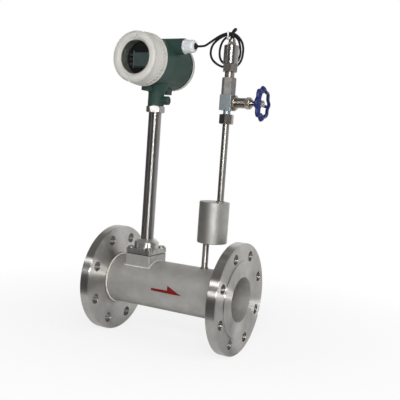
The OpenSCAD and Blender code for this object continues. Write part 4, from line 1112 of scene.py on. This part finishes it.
@dataclass
class CableRun(SubAssembly):
    """Cable entries and the looped signal cable from the head to the transmitter.

    Attributes:
        lead_mm: Straight length in front of the gland.
        loop_turn_deg: Turn of the loops about the transmitter.
        loops_mm: Listed points of the loops, from the transmitter's axis.
        steps: Points of each stretch between listed points.
    """

    diameter_mm: float = 4.0
    gland_tip_mm: Point = (155.0, 0.0, 441.0)
    lead_mm: float = 8.0
    boot_top_mm: Point = (223.0, 0.0, 458.0)
    entry_edge_mm: float = 0.4
    nut_edge_mm: float = 0.3
    steps: int = 5
    loop_turn_deg: float = 26.0
    loops_mm: tuple[Point, ...] = (
        (-47, 22.5, 442), (-40, 14.5, 445.5), (-32, 8, 450.5), (-24, 6, 456), (-16, 6, 460.5), (-8, 6, 463),
        (0, 6.5, 463.5), (7, 7.5, 461), (13, 9, 456), (18, 11.5, 449), (20.5, 13.5, 440), (20.5, 15.5, 430),
        (19, 16.5, 421), (15, 17, 413), (8, 17.5, 407.5), (0, 17.5, 405.5), (-9, 17.5, 405.5),
        (-18, 17, 407.5), (-26.5, 16.5, 412), (-33, 15.5, 418.5), (-36, 14.5, 427), (-35.5, 13.5, 436),
        (-32.5, 12.5, 443.5), (-26.5, 11.5, 450.5), (-19, 11, 456.5), (-11, 11, 460.5), (-3, 11, 461.5),
        (4, 11.5, 459.5), (10, 12.5, 455), (13.5, 14, 448), (15.5, 15, 439), (16, 15.5, 430),
        (14, 16, 421), (10, 16.5, 414), (4, 17, 410.5), (-3, 17, 410), (-10, 17, 411.5), (-16, 16.5, 416),
        (-19.5, 16, 423), (-20.5, 16, 432), (-19.5, 16, 441), (-17, 16, 449), (-12.5, 16, 455.5),
        (-7, 16.5, 459.5), (-3.5, 19, 463.5), (2.5, 17.5, 468.5), (5.5, 12.5, 471), (5, 7, 471.5),
        (2.5, 2, 469), (0, 0, 464),
    )

    def build(self) -> None:
        """Dresses the entries and lays the cable."""
        shop = self.shop
        shop.soften("nylon", "gland_body", self.entry_edge_mm)
        shop.soften("nylon", "gland_nut", self.nut_edge_mm)
        shop.paint("rubber", "gland_seal", "cable_boot")
        shop.soften("bolt", "entry_plug", self.entry_edge_mm)
        shop.paint("nylon", "cable_tie")
        self.cable()

    def route(self) -> list[Vector]:
        """The cable's route through its listed points, in metres.

        Returns:
            Points from the gland's tip to the boot.
        """
        foot = Vector((self.boot_top_mm[0], 0.0, 0.0))
        turn = Matrix.Rotation(math.radians(self.loop_turn_deg), 3, "Z")
        tip = Vector(self.gland_tip_mm)
        points = [tip, tip + Vector((self.lead_mm, 0.0, 0.0))]
        points += [foot + turn @ Vector(p) for p in self.loops_mm]
        points.append(Vector(self.boot_top_mm))
        return [p * MM for p in points]

    def smooth(self, points: Sequence[Vector]) -> list[Vector]:
        """Rounds a route with a curve that passes through each point.

        Args:
            points: Route points.

        Returns:
            The rounded route.
        """
        fine: list[Vector] = []
        last = len(points) - 1
        for i in range(last):
            p0, p1, p2, p3 = (points[max(0, min(last, i + k))] for k in (-1, 0, 1, 2))
            for step in range(self.steps):
                t = step / self.steps
                a = 2 * p1 + (p2 - p0) * t
                b = (2 * p0 - 5 * p1 + 4 * p2 - p3) * t**2 + (3 * p1 - p0 - 3 * p2 + p3) * t**3
                fine.append((a + b) / 2)
        return fine + [points[last]]

    def cable(self) -> None:
        """Lays the cable as one free cord."""
        points = self.smooth(self.route())
        curve = bpy.data.curves.new("signal_cable_sheath", "CURVE")
        curve.dimensions = "3D"
        line = curve.splines.new("POLY")
        line.points.add(len(points) - 1)
        for knot, point in zip(line.points, points):
            knot.co = (*point, 1.0)
        line.use_smooth = True
        curve.bevel_depth = self.diameter_mm / 2 * MM
        curve.bevel_resolution = 4
        curve.use_fill_caps = True
        curve.materials.append(self.shop.finishes["rubber"])
        item = put("signal_cable_sheath", curve)
        self.shop.stand_in(item, Body.METER, "signal_cable")


@dataclass
class SiphonPot(SubAssembly):
    """Tap pipe, condensate pot and riser."""

    pot_edge_mm: float = 0.6

    def build(self) -> None:
        """Dresses the pot and its pipes."""
        self.shop.paint("tap", "tap_pipe")
        self.shop.paint("pipe", "riser_pipe")
        self.shop.soften("pot", "siphon_pot", self.pot_edge_mm)


@dataclass
class NeedleValve(SubAssembly):
    """Needle valve with its union, bonnet and lobed handwheel.

    Attributes:
        wheel_mm: Middle of the handwheel's rim.
        dish_mm: Distance from the rim's plane back to the hub's middle.
        mid_r_mm: Middle radius of the lobed rim.
        swell_mm: Rise of a lobe from the middle radius.
        rim_mm: Thickness and width of the rim's oval section.
        rim_slant_deg: Slant of that section.
        rim_steps: Sections round the rim, and corners of each.
        hub_mm: Diameter, length and bore of the hub.
        hub_edge_mm: Width of the hub's broken edges.
        spoke_mm: Diameter of a spoke at the hub and at the rim.
    """

    nut_edge_mm: float = 0.4
    body_edge_mm: float = 0.5
    small_edge_mm: float = 0.3
    wheel_mm: Point = (290.0, 0.0, 342.5)
    dish_mm: float = 9.0
    mid_r_mm: float = 24.4
    swell_mm: float = 2.1
    lobes: int = 8
    rim_mm: tuple[float, float] = (5.2, 9.9)
    rim_slant_deg: float = -45.0
    rim_steps: tuple[int, int] = (192, 20)
    hub_mm: Point = (15.0, 11.0, 6.2)
    hub_edge_mm: float = 1.0
    spoke_mm: tuple[float, float] = (7.0, 4.9)
    spokes: int = 3
    first_spoke_deg: float = 80.0

    def build(self) -> None:
        """Dresses the valve and builds the handwheel."""
        shop = self.shop
        shop.soften("union", "union_nut", self.nut_edge_mm)
        shop.paint("brass", "ferrule")
        shop.soften("block", "valve_body", self.body_edge_mm)
        shop.soften("bonnet", "valve_bonnet", self.nut_edge_mm)
        shop.soften("bonnet", "packing_nut", self.small_edge_mm)
        shop.paint("nylon", "valve_packing")
        shop.paint("spindle", "valve_needle", "valve_stem")
        shop.soften("bolt", "handwheel_nut", self.small_edge_mm, Body.WHEEL)
        self.handwheel()

    def handwheel(self) -> None:
        """Casts the lobed handwheel in one piece."""
        shape = NodeShape("lobed_handwheel")
        hub = self.hub()
        middle = shape.add("GeometryNodeObjectInfo", {"Object": hub}, transform_space="ORIGINAL")
        joined = shape.add("GeometryNodeJoinGeometry")
        for part in (self.rim(shape).outputs[0], self.arms(shape).outputs[0], middle.outputs["Geometry"]):
            shape.tree.links.new(part, joined.inputs[0])
        item = shape.bake(joined, self.shop.finishes["blue"], seat(self.wheel_mm, 90.0, "Y"), 50.0)
        bpy.data.objects.remove(hub)
        self.shop.stand_in(item, Body.WHEEL, "handwheel")

    def rim(self, shape: NodeShape) -> Node:
        """Leads the rim's slanted oval section round a lobed circle.

        Args:
            shape: The wheel's tree.

        Returns:
            The rim's node.
        """
        steps, corners = self.rim_steps
        lobes = shape.size("Lobes", self.lobes, whole=True)
        mid = shape.size("Rim radius", self.mid_r_mm * MM)
        swell = shape.size("Lobe swell", self.swell_mm * MM)
        ring = shape.add("GeometryNodeCurvePrimitiveCircle", {"Resolution": steps, "Radius": mid})
        index = shape.add("GeometryNodeInputIndex")
        around = shape.add("ShaderNodeMath", {0: index, 1: 2 * math.pi / steps}, operation="MULTIPLY")
        phase = shape.add("ShaderNodeMath", {0: around, 1: lobes}, operation="MULTIPLY")
        crest = shape.add("ShaderNodeMath", {0: phase}, operation="COSINE")
        wave = shape.add("ShaderNodeMath", {0: crest, 1: swell}, operation="MULTIPLY")
        place = shape.add("GeometryNodeInputPosition")
        outward = shape.add("ShaderNodeVectorMath", {0: place}, operation="NORMALIZE")
        offset = shape.add("ShaderNodeVectorMath", {0: outward, "Scale": wave}, operation="SCALE")
        waved = shape.add("GeometryNodeSetPosition", {"Geometry": ring, "Offset": offset})
        upright = shape.add("GeometryNodeSetCurveNormal", {"Curve": waved}, mode="Z_UP")
        circle = shape.add("GeometryNodeCurvePrimitiveCircle", {"Resolution": corners, "Radius": 0.5 * MM})
        links = {"Geometry": circle, "Scale": (*self.rim_mm, 1.0)}
        links["Rotation"] = (0.0, 0.0, math.radians(self.rim_slant_deg))
        section = shape.add("GeometryNodeTransform", links)
        return shape.add("GeometryNodeCurveToMesh", {"Curve": upright, "Profile Curve": section})

    def arms(self, shape: NodeShape) -> Node:
        """Sets the tapered spokes, which rise from the hub to the rim.

        Args:
            shape: The wheel's tree.

        Returns:
            The spokes' node.
        """
        point = shape.add("GeometryNodePoints", {"Count": self.spokes})
        thick, thin = (size / 2 * MM for size in self.spoke_mm)
        links = {"Vertices": 24, "Radius Top": thin, "Radius Bottom": thick}
        links["Depth"] = math.hypot(self.mid_r_mm, self.dish_mm) * MM
        cone = shape.add("GeometryNodeMeshCone", links)
        tilt = math.atan2(self.dish_mm, self.mid_r_mm)
        links = {"Geometry": cone, "Translation": (0.0, 0.0, -self.dish_mm * MM)}
        lying = shape.add("GeometryNodeTransform", links | {"Rotation": (0.0, math.pi / 2 - tilt, 0.0)})
        index = shape.add("GeometryNodeInputIndex")
        around = shape.add("ShaderNodeMath", {0: index, 1: 2 * math.pi / self.spokes}, operation="MULTIPLY")
        first = math.radians(self.first_spoke_deg)
        turn = shape.add("ShaderNodeMath", {0: around, 1: first}, operation="ADD")
        facing = shape.add("ShaderNodeCombineXYZ", {"Z": turn})
        links = {"Points": point, "Instance": lying, "Rotation": facing}
        return shape.add("GeometryNodeInstanceOnPoints", links)

    def hub(self) -> Object:
        """Turns the wheel's bored hub.

        Returns:
            The hub along Z, to be joined into the wheel.
        """
        outer, half, hole = (size / 2 for size in self.hub_mm)
        edge = self.hub_edge_mm
        section = [
            (hole, -half), (outer - edge, -half), (outer, edge - half),
            (outer, half - edge), (outer - edge, half), (hole, half),
        ]
        return put("wheel_hub", lathe("wheel_hub", [(r, z - self.dish_mm) for r, z in section]))


@dataclass
class Transmitter(SubAssembly):
    """Pressure transmitter on its hexagon connector."""

    body_edge_mm: float = 0.5
    nut_edge_mm: float = 0.4

    def build(self) -> None:
        """Dresses the transmitter."""
        self.shop.soften("hexagon", "transmitter_connector", self.body_edge_mm)
        self.shop.soften("nut", "transmitter_base", self.nut_edge_mm)
        self.shop.soften("case", "transmitter_case", self.body_edge_mm)
        self.shop.soften("nut", "transmitter_cap", self.nut_edge_mm)


# Studio


@dataclass(frozen=True)
class Lamp:
    """A soft lamp that faces the meter.

    Attributes:
        name: Name of the lamp.
        place: Position in metres.
        size: Width and height in metres.
        watts: Power.
        mirrored: True where metal shows the lamp itself.
    """

    name: str
    place: Point
    size: tuple[float, float]
    watts: float
    mirrored: bool = False

    def hang(self, aim: Point) -> None:
        """Hangs the lamp.

        Args:
            aim: Position in metres that it faces.
        """
        data = bpy.data.lights.new(self.name, "AREA")
        data.shape = "RECTANGLE"
        data.size, data.size_y = self.size
        data.energy = self.watts
        item = put(self.name, data)
        item.visible_glossy = self.mirrored
        spot = Vector(self.place)
        turn = (spot - Vector(aim)).to_track_quat("Z", "Y")
        item.matrix_world = Matrix.Translation(spot) @ turn.to_matrix().to_4x4()


@dataclass
class Studio:
    """Pale floor, soft lamps and the camera at the photograph's angle.

    Attributes:
        foot_m: The floor's middle, under the meter.
        fade_m: Distances from there at which the floor starts and ends to fade into the background.
        foot_level: Share of the background's white at that middle.
        fill: Strength of the soft fill light.
        room_turn_deg: Bearing of the room's dim side, from -Y towards +X.
        room: Bearings from that side, in degrees to the right, and how bright metal shows the room there.
        ceiling: Brightness of the ceiling in metal.
        ceiling_from: Steepness at which the ceiling starts and is full.
        strip: Middle, half width, soft edge and brightness of the floor strip that metal shows in front.
        aim: Position that the lamps face.
    """

    floor_z_mm: float = -100.4
    floor_size_m: float = 6.0
    floor_colour: str = "f4f4f4"
    foot_m: tuple[float, float] = (0.138, 0.05)
    fade_m: tuple[float, float] = (0.2, 0.7)
    foot_level: float = 0.8
    fill: float = 0.3
    camera_mm: Point = (715.5, -1011.6, 258.7)
    yaw_deg: float = 27.80
    pitch_deg: float = -4.59
    roll_deg: float = 4.06
    lens_mm: float = 57.18
    room_turn_deg: float = 31.7
    room: Section = (
        (-180, 0.9), (-158, 0.85), (-146, 0.1), (-48, 0.09), (-37, 0.14), (-14, 0.16), (12, 0.17), (40, 0.17),
        (56, 0.5), (74, 0.75), (90, 0.7), (108, 0.7), (118, 0.85), (128, 0.92), (150, 0.92), (180, 0.95),
    )
    ceiling: float = 0.25
    ceiling_from: tuple[float, float] = (0.55, 0.9)
    strip: tuple[float, float, float, float] = (-0.115, 0.09, 0.03, 0.62)
    aim: Point = (0.13, 0.0, 0.2)
    lamps: tuple[Lamp, ...] = (
        Lamp("front_upper_lamp", (0.78, -1.13, 0.76), (0.66, 0.1), 6.4, True),
        Lamp("front_lower_lamp", (0.78, -1.13, 0.31), (0.66, 0.1), 6.4, True),
        Lamp("key_lamp", (-0.79, -1.37, 1.0), (0.34, 0.2), 1.6, True),
        Lamp("right_lamp", (1.9, -0.3, 0.9), (0.9, 1.3), 10.0),
        Lamp("top_lamp", (0.1, 0.3, 1.9), (1.2, 1.2), 2.4),
    )

    def build(self) -> None:
        """Builds the studio."""
        bpy.context.scene.view_settings.view_transform = "Standard"
        self.camera()
        self.floor()
        self.world()
        for lamp in self.lamps:
            lamp.hang(self.aim)

    def camera(self) -> None:
        """Sets the camera."""
        yaw, pitch, roll = (math.radians(v) for v in (self.yaw_deg, self.pitch_deg, self.roll_deg))
        ahead = Vector((-math.sin(yaw) * math.cos(pitch), math.cos(yaw) * math.cos(pitch), math.sin(pitch)))
        right = ahead.cross(Vector((0, 0, 1))).normalized()
        above = right.cross(ahead)
        side = right * math.cos(roll) + above * math.sin(roll)
        top = above * math.cos(roll) - right * math.sin(roll)
        data = bpy.data.cameras.new("camera")
        data.lens = self.lens_mm
        data.sensor_width = 36.0
        data.clip_start, data.clip_end = 0.01, 50.0
        item = put("camera", data)
        turn = Matrix((side, top, -ahead)).transposed().to_4x4()
        item.matrix_world = Matrix.Translation(Vector(self.camera_mm) * MM) @ turn
        bpy.context.scene.camera = item

    def seen(self, tree: NodeTree) -> Node:
        """One where the background itself is seen, direct, in metal or through glass.

        Args:
            tree: The floor's or the world's tree.

        Returns:
            The factor's node.
        """
        path = add_node(tree, "ShaderNodeLightPath").outputs
        found = path["Is Camera Ray"]
        for ray in ("Is Glossy Ray", "Is Transmission Ray"):
            found = add_node(tree, "ShaderNodeMath", {0: found, 1: path[ray]}, operation="MAXIMUM")
        return found

    def walls(self, tree: NodeTree, direction: Node | NodeSocket) -> Node:
        """How bright metal shows the room in each bearing: white behind, dim on the camera's side.

        Args:
            tree: The floor's or the world's tree.
            direction: Direction from the meter.

        Returns:
            The brightness node.
        """
        links = {"Vector": direction, "Angle": -math.radians(self.room_turn_deg)}
        turned = add_node(tree, "ShaderNodeVectorRotate", links, rotation_type="Z_AXIS")
        parts = add_node(tree, "ShaderNodeSeparateXYZ", {0: turned}).outputs
        front = add_node(tree, "ShaderNodeMath", {0: parts["Y"], 1: -1.0}, operation="MULTIPLY")
        bearing = add_node(tree, "ShaderNodeMath", {0: parts["X"], 1: front}, operation="ARCTAN2")
        links = {"Value": bearing, "From Min": -math.pi, "From Max": math.pi}
        ramp = add_node(tree, "ShaderNodeValToRGB", {0: add_node(tree, "ShaderNodeMapRange", links)})
        stops = ramp.color_ramp.elements
        for stop, (angle, level) in zip((stops[0], stops[1]), (self.room[0], self.room[-1])):
            stop.position, stop.color = angle / 360 + 0.5, (level, level, level, 1.0)
        for angle, level in self.room[1:-1]:
            stops.new(angle / 360 + 0.5).color = (level, level, level, 1.0)
        return ramp

    def front_strip(self, tree: NodeTree, where: NodeSocket) -> Node:
        """How bright metal shows the strip of floor in front of the meter.

        Args:
            tree: The floor's tree.
            where: Place on the floor.

        Returns:
            The brightness node.
        """
        middle, half, soft, bright = self.strip
        across = add_node(tree, "ShaderNodeSeparateXYZ", {0: where}).outputs["Y"]
        offset = add_node(tree, "ShaderNodeMath", {0: across, 1: middle}, operation="SUBTRACT")
        apart = add_node(tree, "ShaderNodeMath", {0: offset}, operation="ABSOLUTE")
        links = {"Value": apart, "From Min": half, "From Max": half + soft, "To Min": bright, "To Max": 0.0}
        return add_node(tree, "ShaderNodeMapRange", links)

    def floor(self) -> None:
        """Lays the pale floor, which fades into the white background away from the meter."""
        sheet = bmesh.new()
        bmesh.ops.create_grid(sheet, x_segments=1, y_segments=1, size=self.floor_size_m)
        mesh = to_mesh("studio_floor", sheet)
        mesh.transform(seat((0.0, 0.0, self.floor_z_mm)))
        material = bpy.data.materials.new("pale_floor")
        material.use_nodes = True
        tree = material.node_tree
        tree.nodes.clear()
        where = add_node(tree, "ShaderNodeTexCoord").outputs["Object"]
        links = {0: where, 1: (*self.foot_m, self.floor_z_mm * MM)}
        far = add_node(tree, "ShaderNodeVectorMath", links, operation="DISTANCE").outputs["Value"]
        away = add_node(tree, "ShaderNodeVectorMath", links, operation="SUBTRACT")
        near, gone = self.fade_m
        links = {"Value": far, "From Min": near, "From Max": gone, "To Min": self.foot_level}
        fade = add_node(tree, "ShaderNodeMapRange", links)
        direct = add_node(tree, "ShaderNodeMath", {0: self.seen(tree), 1: fade}, operation="MULTIPLY")
        mirror = add_node(tree, "ShaderNodeLightPath").outputs["Is Glossy Ray"]
        share = add_node(tree, "ShaderNodeMath", {0: direct, 1: mirror}, operation="MAXIMUM")
        links = {0: self.front_strip(tree, where), 1: self.walls(tree, away)}
        shown = add_node(tree, "ShaderNodeMath", links, operation="MAXIMUM")
        level = add_node(tree, "ShaderNodeMix", {0: mirror, 2: 1.0, 3: shown})
        paint = add_node(tree, "ShaderNodeBsdfDiffuse", {"Color": linear(self.floor_colour)})
        glow = add_node(tree, "ShaderNodeEmission", {"Color": WHITE, "Strength": level})
        mixed = add_node(tree, "ShaderNodeMixShader", {0: share, 1: paint, 2: glow})
        add_node(tree, "ShaderNodeOutputMaterial", {"Surface": mixed})
        mesh.materials.append(material)
        put("studio_floor", mesh)

    def world(self) -> None:
        """Sets the white background, the room that metal shows and a soft fill."""
        world = bpy.data.worlds.new("studio")
        bpy.context.scene.world = world
        world.use_nodes = True
        tree = world.node_tree
        tree.nodes.clear()
        where = add_node(tree, "ShaderNodeTexCoord").outputs["Generated"]
        height = add_node(tree, "ShaderNodeSeparateXYZ", {0: where}).outputs["Z"]
        start, full = self.ceiling_from
        upward = add_node(tree, "ShaderNodeMapRange", {"Value": height, "From Min": start, "From Max": full})
        level = add_node(tree, "ShaderNodeMix", {0: upward, 2: self.walls(tree, where), 3: self.ceiling})
        fill, white, room = (
            add_node(tree, "ShaderNodeBackground", {"Color": WHITE, "Strength": strength})
            for strength in (self.fill, 1.0, level)
        )
        first = add_node(tree, "ShaderNodeMixShader", {0: self.seen(tree), 1: fill, 2: white})
        mirror = add_node(tree, "ShaderNodeLightPath").outputs["Is Glossy Ray"]
        final = add_node(tree, "ShaderNodeMixShader", {0: mirror, 1: first, 2: room})
        add_node(tree, "ShaderNodeOutputWorld", {"Surface": final})


def main() -> None:
    """Builds the studio, then each sub-assembly."""
    logging.basicConfig(level=logging.INFO, format="%(name)s: %(message)s")
    for item in list(bpy.data.objects):
        bpy.data.objects.remove(item)
    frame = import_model()
    Studio().build()
    shop = Workshop(frame)
    for part in (CableRun, PipeRun, SensorStem, ConverterHead, SiphonPot, NeedleValve, Transmitter):
        part(shop).build()


if __name__ == "__main__":
    main()
